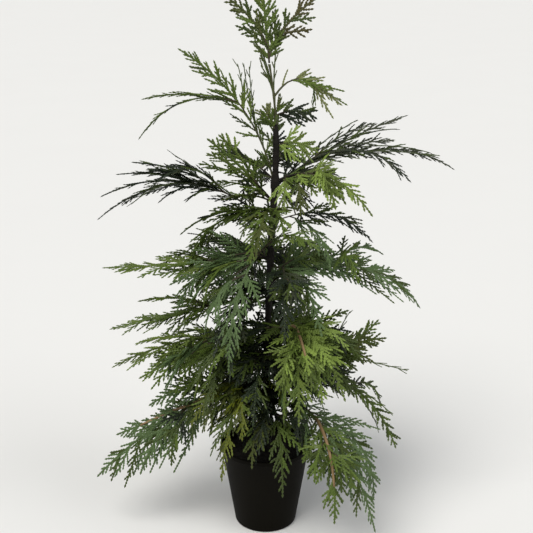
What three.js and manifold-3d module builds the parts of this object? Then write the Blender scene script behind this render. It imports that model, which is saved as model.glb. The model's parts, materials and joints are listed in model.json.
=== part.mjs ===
// An artificial cedar tree in a small black pot: a wrapped wire stem, and flat sprays of cedar twigs
// on thin wire boughs.
// Millimetres, +Z up. The origin is the centre of the pot's flat underside, and the front faces -Y.
import * as THREE from "three";
import { mergeVertices } from "three/addons/utils/BufferGeometryUtils.js";
import Module from "manifold-3d";

const wasm = await Module();
wasm.setup();

// Driving sizes
const POT_HEIGHT = 124;
const POT_RIM_RADIUS = 65;
const POT_FOOT_RADIUS = 44;
const POT_WALL = 2;
const POT_FLOOR = 3;
const POT_EDGE_ROUND = 4;
const POT_LIP_HEIGHT = 7;
const POT_LIP_DEPTH = 1.2;
const POT_LIP_CHAMFER = 0.6;
const POT_SEGMENTS = 28;
const FILL_LEVEL = 110;
const FILL_SLACK = 0.5;
const CLEARANCE = 0.3;

const TRUNK_TOP = 664;
const TRUNK_FOOT_RADIUS = 4.4;
const TRUNK_TOP_RADIUS = 1.9;
const TRUNK_TAPER = 0.6;
const TRUNK_LEAN = 5;
const TRUNK_BOW = 10;
const TRUNK_NARROWS = { from: 555, to: 610 };
const TRUNK_SIDES = 8;
const TRUNK_STEPS = 16;

const BOUGH_ROOT_RADIUS = 2.1;
const BOUGH_SIDES = 5;
const BOUGH_STEP = 22;
const STEM_ROOT_RADIUS = 2.1;
const STEM_TIP_RADIUS = 1.7;
const FORK_THINNING = 0.85;
const FORK_SINK = 3;
const STEM_SAG = 0.6;
const STEM_OVERLAP = 0.8;

const TWIG_THICKNESS = 1;
const TWIG_SPACING = 18;
const TWIG_SHORTEST = 20;
const TWIG_ROOT_ANGLE = 50;
const TWIG_TIP_ANGLE = 30;
const TWIG_ANGLE_SPREAD = 14;
const TWIG_LENGTH_SPREAD = { least: 0.82, spread: 0.3 };
const TWIG_TAPER = { drop: 0.58, power: 1.4 };
const TWIG_SWEEP = 0.12;
const TWIG_SAG = 0.1;
const TWIG_LIFT = 0.16;
const END_TWIG = { most: 0.45, fanShare: 0.55, extra: 18, covered: 0.8 };
const FAN_SPACING = 0.16;
const TWIG_HALF_WIDTH = 2.2;
const TWIG_ROOT_HALF_WIDTH = 0.5;
const TWIG_NECK = 9;
const TOOTH_PITCH = 22;
const TOOTH_REACH = 16;
const TOOTH_SLANT = 1.3;
const TOOTH_STAGGER = 0.2;
const TOOTH_SPREAD = { least: 0.85, spread: 0.3 };
const OUTLINE_NARROWING = 0.45;
const KEEP_APART = 5;
const KEEP_APART_OWN = 3;
const KEEP_APART_OWN_STEM = 2;
const ROOT_REACH = 12;
const SAMPLE_STEP = 3.5;
const LENGTHS_TRIED = [1, 0.75, 0.5];
const SHORTEST_KEPT = 16;
const HEADING_STEP = 0.01;

// Each branch leaves the trunk at its foot height and is bare as far as its bough reaches.
// Its fronds run to their tips: arch lifts the middle off the straight line and skew moves the
// hump outward, fan is the longest side twig, roll turns the fan about its stem from level (0) to
// upright (90), hang lengthens the twigs of the lower side, and fork is where a further frond
// leaves the first one.
const BRANCHES = [
  { name: "leader", foot: TRUNK_TOP, bare: 0, fronds: [
    { tip: [-4, 0, 762], arch: 0, fan: 42, roll: 90 },
    { tip: [-50, -8, 747], arch: 7, fan: 42, roll: 80, fork: 0.2 },
    { tip: [66, 12, 745], arch: 6, fan: 50, roll: 85, hang: 0.2, fork: 0.14 },
  ] },
  { name: "crest_right", foot: 620, bare: 0.2, fronds: [
    { tip: [96, -25, 615], arch: 26, skew: -0.5, fan: 44, roll: 88, hang: 0.75 },
    { tip: [62, 14, 604], arch: 20, fan: 28, roll: 60, fork: 0.25 },
  ] },
  { name: "high_left", foot: 500, bare: 0.44, fronds: [
    { tip: [-109, -10, 682], arch: 24, fan: 40, roll: 75 },
    { tip: [-160, 12, 616], arch: 8, fan: 40, roll: 18, fork: 0.56 },
    { tip: [-162, -28, 572], arch: 24, fan: 36, roll: 12, fork: 0.56 },
    { tip: [-36, 16, 660], arch: 6, fan: 20, roll: 10, fork: 0.5 },
  ] },
  { name: "collar_right", foot: 596, bare: 0, fronds: [
    { tip: [66, 6, 592], arch: 8, fan: 36, roll: 75, hang: 0.3 },
  ] },
  { name: "collar_left", foot: 574, bare: 0, fronds: [
    { tip: [-8, -22, 596], arch: 6, fan: 20, roll: 60 },
  ] },
  { name: "collar_front", foot: 556, bare: 0, fronds: [
    { tip: [66, -38, 556], arch: 8, fan: 48, roll: 75, hang: 0.2 },
  ] },
  { name: "collar_back", foot: 540, bare: 0, fronds: [
    { tip: [18, 60, 588], arch: 8, fan: 36, roll: 30 },
  ] },
  { name: "upper_left", foot: 478, bare: 0.24, fronds: [
    { tip: [-72, -50, 574], arch: 4, fan: 54, roll: 78 },
  ] },
  { name: "shoulder_left", foot: 446, bare: 0.26, fronds: [
    { tip: [-224, -5, 458], arch: 54, fan: 74, roll: 24, hang: 0.35 },
    { tip: [-200, 26, 512], arch: 10, fan: 54, roll: 12, fork: 0.3 },
  ] },
  { name: "breast_left", foot: 432, bare: 0, fronds: [
    { tip: [-108, -70, 456], arch: 32, fan: 48, roll: 35 },
  ] },
  { name: "mid_left", foot: 404, bare: 0.28, fronds: [
    { tip: [-213, -45, 402], arch: -2, fan: 64, roll: -4, hang: 0.1 },
    { tip: [-140, 30, 392], arch: 8, fan: 42, roll: 35, fork: 0.36 },
  ] },
  { name: "front_left", foot: 424, bare: 0, fronds: [
    { tip: [-47, -130, 292], arch: 46, fan: 68, roll: 8 },
    { tip: [-80, -90, 364], arch: 24, fan: 54, roll: 25, fork: 0.26 },
  ] },
  { name: "waist_left", foot: 346, bare: 0.26, fronds: [
    { tip: [-220, 30, 286], arch: 4, fan: 64, roll: -8, hang: 0.15 },
    { tip: [-170, -30, 350], arch: 8, fan: 44, roll: 30, fork: 0.36 },
  ] },
  { name: "low_left", foot: 282, bare: 0.24, fronds: [
    { tip: [-208, -40, 258], arch: 20, fan: 64, roll: 58, hang: 0.5 },
    { tip: [-138, -96, 226], arch: 24, fan: 56, roll: 45, fork: 0.32 },
    { tip: [-172, -36, 240], arch: 2, fan: 58, roll: -45, hang: 0.5, fork: 0.26 },
    { tip: [-178, -20, 284], arch: 6, fan: 34, roll: 5, fork: 0.42 },
  ] },
  { name: "skirt_left", foot: 222, bare: 0.24, fronds: [
    { tip: [-240, -25, 82], arch: 22, fan: 66, roll: -55, hang: 0.6 },
    { tip: [-212, -6, 138], arch: 0, fan: 40, roll: -50, hang: 0.6, fork: 0.3 },
    { tip: [-130, -70, 124], arch: 24, fan: 56, roll: -40, fork: 0.34 },
  ] },
  { name: "front_skirt_left", foot: 232, bare: 0, fronds: [
    { tip: [-58, -125, 131], arch: 46, fan: 62, roll: 12 },
  ] },
  { name: "front_skirt", foot: 206, bare: 0, fronds: [
    { tip: [23, -120, 104], arch: 48, fan: 56, roll: 0 },
  ] },
  { name: "front_right", foot: 300, bare: 0.2, fronds: [
    { tip: [104, -110, 241], arch: 38, fan: 70, roll: 30 },
    { tip: [43, -145, 222], arch: 36, fan: 64, roll: 0, fork: 0.26 },
  ] },
  { name: "skirt_right", foot: 214, bare: 0.26, fronds: [
    { tip: [146, -140, 64], arch: 44, fan: 78, roll: 12 },
    { tip: [150, -80, 78], arch: 30, fan: 42, roll: 40, hang: 0.5, fork: 0.3 },
    { tip: [91, -150, 82], arch: 34, fan: 58, roll: 8, fork: 0.34 },
  ] },
  { name: "low_right", foot: 240, bare: 0.4, fronds: [
    { tip: [191, 20, 104], arch: 42, fan: 20, roll: 70 },
    { tip: [172, 60, 150], arch: 18, fan: 20, roll: 50, fork: 0.5 },
  ] },
  { name: "waist_right", foot: 268, bare: 0.26, fronds: [
    { tip: [195, -30, 248], arch: 6, fan: 34, roll: 20 },
    { tip: [158, 20, 302], arch: -8, fan: 28, roll: 75, hang: 0.4, fork: 0.4 },
  ] },
  { name: "mid_right", foot: 376, bare: 0.36, fronds: [
    { tip: [219, 35, 317], arch: 38, skew: 0.4, fan: 62, roll: 24, hang: 0.2 },
    { tip: [122, -58, 385], arch: 26, fan: 42, roll: 40, fork: 0.38 },
  ] },
  { name: "upper_right_front", foot: 508, bare: 0.22, fronds: [
    { tip: [135, -75, 482], arch: 30, fan: 60, roll: 35, hang: 0.25 },
  ] },
  { name: "upper_right_back", foot: 452, bare: 0, fronds: [
    { tip: [149, 44, 412], arch: 26, fan: 46, roll: 50 },
  ] },
  { name: "shoulder_right", foot: 502, bare: 0.16, fronds: [
    { tip: [187, 24, 592], arch: 9, fan: 44, roll: 10 },
    { tip: [250, 6, 524], arch: 20, skew: 0.4, fan: 48, roll: 14, hang: -0.2, fork: 0.3 },
  ] },
  { name: "front_high", foot: 466, bare: 0, fronds: [
    { tip: [-12, -120, 439], arch: 26, fan: 50, roll: 0 },
  ] },
  { name: "front_mid", foot: 388, bare: 0, fronds: [
    { tip: [72, -110, 332], arch: 34, fan: 62, roll: 20 },
    { tip: [24, -140, 334], arch: 30, fan: 58, roll: 0, fork: 0.2 },
  ] },
  { name: "front_low", foot: 258, bare: 0, fronds: [
    { tip: [-16, -150, 225], arch: 34, fan: 62, roll: 0 },
  ] },
  { name: "back_high", foot: 508, bare: 0.2, fronds: [
    { tip: [-66, 118, 520], arch: 12, fan: 58, roll: 20 },
    { tip: [58, 112, 512], arch: 12, fan: 50, roll: 20, fork: 0.24 },
  ] },
  { name: "back_left", foot: 396, bare: 0.24, fronds: [
    { tip: [-118, 150, 366], arch: 22, fan: 70, roll: 25 },
  ] },
  { name: "back_right", foot: 372, bare: 0.24, fronds: [
    { tip: [112, 156, 346], arch: 22, fan: 70, roll: 25 },
  ] },
  { name: "back_mid", foot: 330, bare: 0, fronds: [
    { tip: [-22, 186, 304], arch: 28, fan: 72, roll: 15 },
  ] },
  { name: "back_low_right", foot: 272, bare: 0.24, fronds: [
    { tip: [128, 150, 206], arch: 22, fan: 70, roll: 25 },
  ] },
  { name: "back_low_left", foot: 256, bare: 0.24, fronds: [
    { tip: [-142, 142, 206], arch: 26, fan: 70, roll: 25 },
  ] },
  { name: "back_skirt", foot: 210, bare: 0.22, fronds: [
    { tip: [52, 186, 112], arch: 44, fan: 72, roll: 15 },
    { tip: [-62, 176, 104], arch: 30, fan: 68, roll: 15, fork: 0.26 },
  ] },
];

const DOWN = new THREE.Vector3(0, 0, -1);

// Finishes
const finish = (color, roughness) => new THREE.MeshStandardMaterial({ color, roughness, metalness: 0 });
const POT_PLASTIC = finish(0x1a1712, 0.55);
const DARK_FILL = finish(0x14110e, 0.95);
const WRAPPED_STEM = finish(0x2b2118, 0.9);
const FOLIAGE = finish(0x4a6b30, 0.75);

// A number from 0 to 1 that always comes out the same for the same three keys.
function chance(a, b, c) {
  const wave = Math.sin(a * 12.9898 + b * 78.233 + c * 37.719) * 43758.5453;
  return wave - Math.floor(wave);
}

// Solids that are joined and cut
function solid(geometry) {
  const bare = geometry.clone();
  bare.deleteAttribute("normal");
  bare.deleteAttribute("uv");
  const merged = mergeVertices(bare, 1e-4);
  const vertProperties = new Float32Array(merged.attributes.position.array);
  const triVerts = new Uint32Array(merged.index.array);
  return new wasm.Manifold(new wasm.Mesh({ numProp: 3, vertProperties, triVerts }));
}

// A limb that runs close beside the trunk can leave a scrap where it is cut: the main body is kept.
function mainBody(body) {
  const bodies = body.decompose();
  return bodies.reduce((main, other) => (other.volume() > main.volume() ? other : main));
}

function geometryOf(body) {
  const mesh = mainBody(body).getMesh();
  const geometry = new THREE.BufferGeometry();
  geometry.setAttribute("position", new THREE.BufferAttribute(mesh.vertProperties, 3));
  geometry.setIndex(new THREE.BufferAttribute(mesh.triVerts, 1));
  geometry.computeVertexNormals();
  return geometry;
}

// The trunk's middle line and thickness at a height
function trunkAt(height) {
  const share = (height - FILL_LEVEL) / (TRUNK_TOP - FILL_LEVEL);
  const bow = Math.sin(Math.PI * Math.max(share, 0) ** 3);
  return new THREE.Vector3(TRUNK_LEAN * share + TRUNK_BOW * bow, 0, height);
}

function trunkRadius(height) {
  const narrowed = THREE.MathUtils.smoothstep(height, TRUNK_NARROWS.from, TRUNK_NARROWS.to);
  const taper = TRUNK_TAPER * (height - FILL_LEVEL) / (TRUNK_TOP - FILL_LEVEL);
  return THREE.MathUtils.lerp(TRUNK_FOOT_RADIUS - taper, TRUNK_TOP_RADIUS, narrowed);
}

// A frond's line from its root to its tip, in the upright plane that holds both
function lineOf(start, frond) {
  const chord = new THREE.Vector3(...frond.tip).sub(start);
  const across = new THREE.Vector3(-chord.y, chord.x, 0).normalize();
  const overhead = chord.clone().normalize().cross(across);
  const skew = frond.skew ?? 0;
  const at = (share) => {
    const hump = 4 * share * (1 - share) * (1 + skew * (2 * share - 1));
    return start.clone().addScaledVector(chord, share).addScaledVector(overhead, frond.arch * hump);
  };
  const heading = (share) => at(share + HEADING_STEP).sub(at(share - HEADING_STEP)).normalize();
  return { at, heading, across, length: chord.length() };
}

// The directions of a fan at a place along its line: ahead, to the side and off its face
function fanAt(line, frond, share) {
  const ahead = line.heading(share);
  const roll = THREE.MathUtils.degToRad(frond.roll);
  const rise = ahead.clone().cross(line.across);
  const side = line.across.clone().multiplyScalar(Math.cos(roll)).addScaledVector(rise, Math.sin(roll));
  return { ahead, side, off: ahead.clone().cross(side) };
}

// Lays a straight piece that runs from 0 to 1 along its own Z onto a line in space.
function layAlong(geometry, frameAt) {
  const place = geometry.attributes.position;
  for (let i = 0; i < place.count; i += 1) {
    const { point, side, off } = frameAt(place.getZ(i));
    point.addScaledVector(side, place.getX(i)).addScaledVector(off, place.getY(i));
    place.setXYZ(i, point.x, point.y, point.z);
  }
  return geometry;
}

// A tapering limb with flat ends
function limb(frameAt, radiusAt, sides, steps) {
  const section = new THREE.Shape();
  for (let i = 0; i < sides; i += 1) {
    const turn = (2 * Math.PI * i) / sides + Math.PI / 2;
    section.lineTo(Math.cos(turn), Math.sin(turn));
  }
  const straight = new THREE.ExtrudeGeometry(section, { depth: 1, steps, bevelEnabled: false });
  const place = straight.attributes.position;
  for (let i = 0; i < place.count; i += 1) {
    const radius = radiusAt(place.getZ(i));
    place.setXY(i, place.getX(i) * radius, place.getY(i) * radius);
  }
  return layAlong(straight, frameAt);
}

// The flat outline of a toothed twig: across it in x, and along it in y
function twigOutline(length, seed) {
  const toothed = length - TWIG_NECK;
  const pairs = Math.max(1, Math.round(toothed / TOOTH_PITCH) - 1);
  const pitch = toothed / (pairs + 1);
  const sideOf = (hand) => {
    const points = [];
    for (let i = 0; i <= pairs; i += 1) {
      const root = TWIG_NECK + pitch * (i - hand * TOOTH_STAGGER);
      const shrink = 1 - OUTLINE_NARROWING * (root / length);
      const varied = TOOTH_SPREAD.least + TOOTH_SPREAD.spread * chance(seed, i, hand);
      const reach = TOOTH_REACH * shrink * varied;
      points.push([TWIG_HALF_WIDTH * shrink, root]);
      if (i < pairs) points.push([TWIG_HALF_WIDTH * shrink + reach, root + pitch * TOOTH_SLANT]);
    }
    return points.map(([out, along]) => [out * hand, along]);
  };
  const right = sideOf(1);
  const left = sideOf(-1).reverse();
  const outline = [[TWIG_ROOT_HALF_WIDTH, 0], ...right, [0, length], ...left, [-TWIG_ROOT_HALF_WIDTH, 0]];
  return outline.map(([out, along]) => new THREE.Vector2(out, along));
}

function twigBlade(outline, length, frameAt) {
  const shape = new THREE.Shape(outline);
  const flat = new THREE.ExtrudeGeometry(shape, { depth: TWIG_THICKNESS, steps: 1, bevelEnabled: false });
  const place = flat.attributes.position;
  for (let i = 0; i < place.count; i += 1) {
    const out = place.getX(i);
    const along = place.getY(i);
    place.setXYZ(i, -out, place.getZ(i) - TWIG_THICKNESS / 2, along / length);
  }
  return layAlong(flat, frameAt);
}

// Points that stand for what is already there, in cubes of space, each with its owner's name
const taken = new Map();
const cubeOf = (value) => Math.floor(value / KEEP_APART);

function take(points, owner) {
  for (const point of points) {
    const key = [point.x, point.y, point.z].map(cubeOf).join();
    if (!taken.has(key)) taken.set(key, []);
    taken.get(key).push({ point, owner });
  }
}

function isClear(point, gapTo) {
  const [cx, cy, cz] = [point.x, point.y, point.z].map(cubeOf);
  const tooNear = (other) => other.point.distanceTo(point) < gapTo(other.owner);
  for (let dx = -1; dx <= 1; dx += 1) {
    for (let dy = -1; dy <= 1; dy += 1) {
      for (let dz = -1; dz <= 1; dz += 1) {
        const near = taken.get([cx + dx, cy + dy, cz + dz].join()) ?? [];
        if (near.some(tooNear)) return false;
      }
    }
  }
  return true;
}

// Whether a point keeps clear of the pot, the trunk and the surface the pot stands on
function isOutside(point) {
  if (point.z < KEEP_APART) return false;
  const fromAxis = Math.hypot(point.x, point.y);
  if (point.z < POT_HEIGHT + KEEP_APART && fromAxis < POT_RIM_RADIUS + KEEP_APART) return false;
  const height = THREE.MathUtils.clamp(point.z, FILL_LEVEL, TRUNK_TOP);
  return trunkAt(height).distanceTo(point) > trunkRadius(height) + KEEP_APART / 2;
}

function samples(at, from, to, length) {
  const count = Math.max(2, Math.ceil((length * (to - from)) / SAMPLE_STEP));
  return Array.from({ length: count + 1 }, (_, i) => at(from + ((to - from) * i) / count));
}

// The pot: a thin tapered shell with a rounded foot and a slightly proud lip
function potGeometry() {
  const slope = (POT_RIM_RADIUS - POT_LIP_DEPTH - POT_FOOT_RADIUS) / POT_HEIGHT;
  const outside = (height) => POT_FOOT_RADIUS + slope * height;
  const lipFoot = POT_HEIGHT - POT_LIP_HEIGHT;
  const profile = [new THREE.Vector2(0, 0)];
  const middle = new THREE.Vector2(outside(POT_EDGE_ROUND) - POT_EDGE_ROUND, POT_EDGE_ROUND);
  for (let i = 0; i <= 3; i += 1) {
    const turn = -Math.PI / 2 + (Math.PI / 2) * (i / 3);
    const round = new THREE.Vector2(Math.cos(turn), Math.sin(turn)).multiplyScalar(POT_EDGE_ROUND);
    profile.push(middle.clone().add(round));
  }
  profile.push(new THREE.Vector2(outside(lipFoot), lipFoot));
  profile.push(new THREE.Vector2(outside(lipFoot) + POT_LIP_DEPTH, lipFoot + POT_LIP_DEPTH));
  profile.push(new THREE.Vector2(POT_RIM_RADIUS, POT_HEIGHT - POT_LIP_CHAMFER));
  profile.push(new THREE.Vector2(POT_RIM_RADIUS - POT_LIP_CHAMFER, POT_HEIGHT));
  profile.push(new THREE.Vector2(outside(POT_HEIGHT) - POT_WALL, POT_HEIGHT));
  profile.push(new THREE.Vector2(outside(POT_FLOOR) - POT_WALL, POT_FLOOR));
  profile.push(new THREE.Vector2(0, POT_FLOOR));
  return new THREE.LatheGeometry(profile, POT_SEGMENTS).rotateX(Math.PI / 2);
}

// The dark fill that holds the stem, a shade clear of the pot's inside
function fillGeometry() {
  const slope = (POT_RIM_RADIUS - POT_LIP_DEPTH - POT_FOOT_RADIUS) / POT_HEIGHT;
  const inside = (height) => POT_FOOT_RADIUS + slope * height - POT_WALL - CLEARANCE;
  const foot = POT_FLOOR + CLEARANCE;
  const profile = [
    new THREE.Vector2(0, foot),
    new THREE.Vector2(inside(foot) - FILL_SLACK, foot),
    new THREE.Vector2(inside(FILL_LEVEL) - FILL_SLACK, FILL_LEVEL),
    new THREE.Vector2(0, FILL_LEVEL),
  ];
  return new THREE.LatheGeometry(profile, POT_SEGMENTS).rotateX(Math.PI / 2);
}

// The trunk, with its flat foot just clear of the fill; spare makes it fatter for use as a cutter
function trunkGeometry(spare) {
  const foot = FILL_LEVEL + (spare > 0 ? 0 : CLEARANCE);
  const top = TRUNK_TOP + spare;
  const heightAt = (share) => foot + (top - foot) * share;
  const side = new THREE.Vector3(1, 0, 0);
  const off = new THREE.Vector3(0, 1, 0);
  const frameAt = (share) => ({ point: trunkAt(heightAt(share)), side, off });
  const radiusAt = (share) => trunkRadius(heightAt(share)) + spare;
  return limb(frameAt, radiusAt, TRUNK_SIDES, TRUNK_STEPS);
}

// The lines of a branch: the first frond's starts in the trunk, and the others' on the first
function linesOf(branch) {
  const root = trunkAt(branch.foot);
  if (branch.foot >= TRUNK_TOP) root.z += CLEARANCE;
  const first = lineOf(root, branch.fronds[0]);
  const others = branch.fronds.slice(1).map((frond) => lineOf(first.at(frond.fork), frond));
  return [first, ...others];
}

function branchRadius(share) {
  return THREE.MathUtils.lerp(BOUGH_ROOT_RADIUS, STEM_ROOT_RADIUS, Math.min(share * 2, 1));
}

function boughSolid(branch, line) {
  const frond = branch.fronds[0];
  const frameAt = (share) => {
    const along = share * branch.bare;
    return { point: line.at(along), ...fanAt(line, frond, along) };
  };
  const radiusAt = (share) => branchRadius(share * branch.bare);
  const steps = Math.max(2, Math.round((line.length * branch.bare) / BOUGH_STEP));
  return solid(limb(frameAt, radiusAt, BOUGH_SIDES, steps)).subtract(fatTrunk);
}

// Where a frond's foliage starts along its line
function leafStart(branch, index, line) {
  if (index > 0) return 0;
  return branch.bare > 0 ? branch.bare + CLEARANCE / line.length : 0;
}

function stemSolid(branch, index, line) {
  const frond = branch.fronds[index];
  const start = index > 0 ? -FORK_SINK / line.length : leafStart(branch, index, line);
  const end = 1 - endTwigShare(frond, line) + STEM_OVERLAP / line.length;
  const shareAt = (share) => start + (end - start) * share;
  const frameAt = (share) => ({ point: line.at(shareAt(share)), ...fanAt(line, frond, shareAt(share)) });
  const thick = index > 0 ? STEM_ROOT_RADIUS * FORK_THINNING : STEM_ROOT_RADIUS;
  const radiusAt = (share) => THREE.MathUtils.lerp(thick, STEM_TIP_RADIUS, share);
  const hump = Math.abs(frond.arch) * (1 + Math.abs(frond.skew ?? 0));
  const steps = Math.max(2, Math.ceil((end - start) * Math.sqrt(hump / STEM_SAG)));
  return solid(limb(frameAt, radiusAt, 3, steps));
}

// The last twig carries on along the stem's own line, to the frond's tip.
function endTwigShare(frond, line) {
  return Math.min(END_TWIG.most, (END_TWIG.fanShare * frond.fan + END_TWIG.extra) / line.length);
}

// The twigs that a frond asks for, from its root to its tip
function twigsOf(branch, index, line, seed) {
  const frond = branch.fronds[index];
  const start = leafStart(branch, index, line);
  const endShare = endTwigShare(frond, line);
  const lastLength = endShare * line.length;
  const last = {
    length: lastLength,
    seed: seed + 0.5,
    frameAt: (share) => {
      const along = 1 - endShare * (1 - share);
      return { point: line.at(along), ...fanAt(line, frond, along) };
    },
  };
  const twigs = [last];
  const leafy = 1 - start - endShare * END_TWIG.covered;
  const spacing = TWIG_SPACING + frond.fan * FAN_SPACING;
  const count = Math.max(2, Math.round((leafy * line.length) / spacing));
  for (let i = 0; i < count; i += 1) {
    const q = (i + 0.6) / count;
    const share = start + leafy * q;
    const hand = (i + index) % 2 === 0 ? 1 : -1;
    twigs.push(sideTwig(line, frond, { share, q, hand, seed: seed + i * 7 }));
  }
  return twigs;
}

function sideTwig(line, frond, { share, q, hand, seed }) {
  const { ahead, side, off } = fanAt(line, frond, share);
  const root = line.at(share);
  const jitter = chance(seed, 1, 0) - 0.5;
  const turned = THREE.MathUtils.lerp(TWIG_ROOT_ANGLE, TWIG_TIP_ANGLE, q) + TWIG_ANGLE_SPREAD * jitter;
  const angle = THREE.MathUtils.degToRad(turned);
  const low = side.z * hand < 0 ? 1 : -1;
  const bias = 1 + (frond.hang ?? 0) * low;
  const taper = 1 - TWIG_TAPER.drop * q ** TWIG_TAPER.power;
  const varied = TWIG_LENGTH_SPREAD.least + TWIG_LENGTH_SPREAD.spread * chance(seed, 2, 0);
  const length = Math.max(frond.fan * taper * varied * bias, TWIG_SHORTEST);
  const lift = TWIG_LIFT * (chance(seed, 3, 0) - 0.5);
  const way = ahead.clone().multiplyScalar(Math.cos(angle)).addScaledVector(side, hand * Math.sin(angle));
  const at = (s) => root.clone()
    .addScaledVector(way, length * s)
    .addScaledVector(ahead, TWIG_SWEEP * length * s * s)
    .addScaledVector(off, lift * length * s * s)
    .addScaledVector(DOWN, TWIG_SAG * length * s * s);
  const frameAt = (s) => {
    const along = at(s + HEADING_STEP).sub(at(s - HEADING_STEP)).normalize();
    const wide = off.clone().cross(along).normalize();
    return { point: at(s), side: wide, off: along.clone().cross(wide) };
  };
  return { length, seed, frameAt };
}

// Points over a twig's middle line and its teeth, to keep twigs of different masses apart
function twigSamples(twig, outline) {
  const points = samples((s) => twig.frameAt(s).point, 0, 1, twig.length);
  for (let i = 1; i < outline.length - 1; i += 1) {
    const tip = outline[i];
    const base = outline[i - 1].clone().lerp(outline[i + 1], 0.5);
    const count = Math.abs(tip.x) > Math.abs(base.x) ? Math.ceil(tip.distanceTo(base) / SAMPLE_STEP) : 0;
    for (let k = 1; k <= count; k += 1) {
      const place = base.clone().lerp(tip, k / count);
      const frame = twig.frameAt(place.y / twig.length);
      points.push(frame.point.clone().addScaledVector(frame.side, -place.x));
    }
  }
  return points;
}

// A twig is tried at three lengths, and left out where even the shortest would touch something.
function placeTwig(twig, owner) {
  for (const scale of LENGTHS_TRIED) {
    const length = twig.length * scale;
    if (length < SHORTEST_KEPT) continue;
    const shorter = { ...twig, length, frameAt: (s) => twig.frameAt(s * scale) };
    const outline = twigOutline(length, twig.seed);
    const points = twigSamples(shorter, outline);
    const root = points[0];
    const clear = points.slice(1).every((point) => {
      const pastRoot = point.distanceTo(root) > ROOT_REACH;
      const gapTo = (other) => {
        if (other === owner) return pastRoot ? KEEP_APART_OWN_STEM : 0;
        if (other === `${owner}_twig`) return pastRoot ? KEEP_APART_OWN : 0;
        return KEEP_APART;
      };
      return isOutside(point) && isClear(point, gapTo);
    });
    if (clear) {
      take(points, `${owner}_twig`);
      return solid(twigBlade(outline, length, shorter.frameAt));
    }
  }
  return null;
}

const fatTrunk = solid(trunkGeometry(CLEARANCE));

// Every limb takes its place first, and then the masses get their twigs in turn.
const tree = BRANCHES.map((branch, number) => ({ branch, number, lines: linesOf(branch) }));
for (const { branch, lines } of tree) {
  if (branch.bare > 0) take(samples(lines[0].at, 0, branch.bare, lines[0].length), `${branch.name}_bough`);
  lines.forEach((line, index) => {
    const end = 1 - endTwigShare(branch.fronds[index], line);
    take(samples(line.at, leafStart(branch, index, line), end, line.length), branch.name);
  });
}
for (const item of tree) {
  item.stems = item.lines.map((line, index) => stemSolid(item.branch, index, line));
  item.waiting = item.lines.map((line, index) => (
    twigsOf(item.branch, index, line, item.number * 100 + index * 1000)
  ));
  item.blades = [];
}
const rounds = Math.max(...tree.flatMap((item) => item.waiting.map((list) => list.length)));
for (let round = 0; round < rounds; round += 1) {
  for (const item of tree) {
    for (const list of item.waiting) {
      const blade = round < list.length ? placeTwig(list[round], item.branch.name) : null;
      if (blade) item.blades.push(blade);
    }
  }
}

// The tree as a scene
const group = new THREE.Group();

function addPiece(name, geometry, material) {
  const mesh = new THREE.Mesh(geometry, material);
  mesh.name = name;
  group.add(mesh);
}

addPiece("pot", potGeometry(), POT_PLASTIC);
addPiece("fill", fillGeometry(), DARK_FILL);
addPiece("trunk", trunkGeometry(0), WRAPPED_STEM);
for (const { branch, lines, stems, blades } of tree) {
  if (branch.bare > 0) {
    addPiece(`${branch.name}_bough`, geometryOf(boughSolid(branch, lines[0])), WRAPPED_STEM);
  }
  let mass = stems[0];
  for (const body of [...stems.slice(1), ...blades]) mass = mass.add(body);
  if (branch.bare === 0) mass = mass.subtract(fatTrunk);
  addPiece(`${branch.name}_foliage`, geometryOf(mass), FOLIAGE);
}

export default group;
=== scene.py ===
import json
import math
from typing import NamedTuple

import bpy
import numpy as np
from bpy.props import FloatProperty, FloatVectorProperty, IntProperty, PointerProperty
from bpy.types import Operator, Panel, PropertyGroup
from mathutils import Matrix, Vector, noise

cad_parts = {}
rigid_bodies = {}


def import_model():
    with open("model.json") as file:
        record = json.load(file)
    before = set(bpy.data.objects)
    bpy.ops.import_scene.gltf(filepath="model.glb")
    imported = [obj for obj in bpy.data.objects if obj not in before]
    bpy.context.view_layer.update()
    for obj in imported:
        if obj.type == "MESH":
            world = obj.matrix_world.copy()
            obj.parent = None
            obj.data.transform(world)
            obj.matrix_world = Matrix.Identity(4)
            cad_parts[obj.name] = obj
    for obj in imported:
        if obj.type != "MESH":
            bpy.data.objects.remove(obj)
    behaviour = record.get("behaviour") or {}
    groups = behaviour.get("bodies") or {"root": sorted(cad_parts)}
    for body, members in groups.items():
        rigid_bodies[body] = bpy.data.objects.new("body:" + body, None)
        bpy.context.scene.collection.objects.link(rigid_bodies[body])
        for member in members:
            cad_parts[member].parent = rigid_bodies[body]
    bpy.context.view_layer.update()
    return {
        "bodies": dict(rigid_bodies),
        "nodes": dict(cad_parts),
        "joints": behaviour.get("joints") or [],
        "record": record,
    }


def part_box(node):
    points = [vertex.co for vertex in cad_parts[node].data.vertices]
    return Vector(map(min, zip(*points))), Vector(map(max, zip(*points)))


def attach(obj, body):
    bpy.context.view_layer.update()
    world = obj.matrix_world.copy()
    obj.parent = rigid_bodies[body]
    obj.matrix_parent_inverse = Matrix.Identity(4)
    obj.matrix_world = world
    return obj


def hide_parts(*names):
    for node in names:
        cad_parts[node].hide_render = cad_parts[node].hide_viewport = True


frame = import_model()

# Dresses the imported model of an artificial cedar: a stem wound with dark tape, flat sprays of scale
# leaves on wire boughs, and a small black pot. Shapes are worked out in millimetres, and made in metres.

bl_info = {
    "name": "Potted Cedar",
    "version": (1, 0, 0),
    "blender": (4, 5, 0),
    "location": "3D View > Sidebar > Cedar",
    "description": "Builds the looks of an artificial cedar tree in a pot",
    "category": "Add Mesh",
}

MM = 0.001
_, POT_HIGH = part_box("pot")
FILL_LOW, FILL_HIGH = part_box("fill")
_, TRUNK_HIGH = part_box("trunk")
UP = np.array((0.0, 0.0, 1.0))

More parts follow.
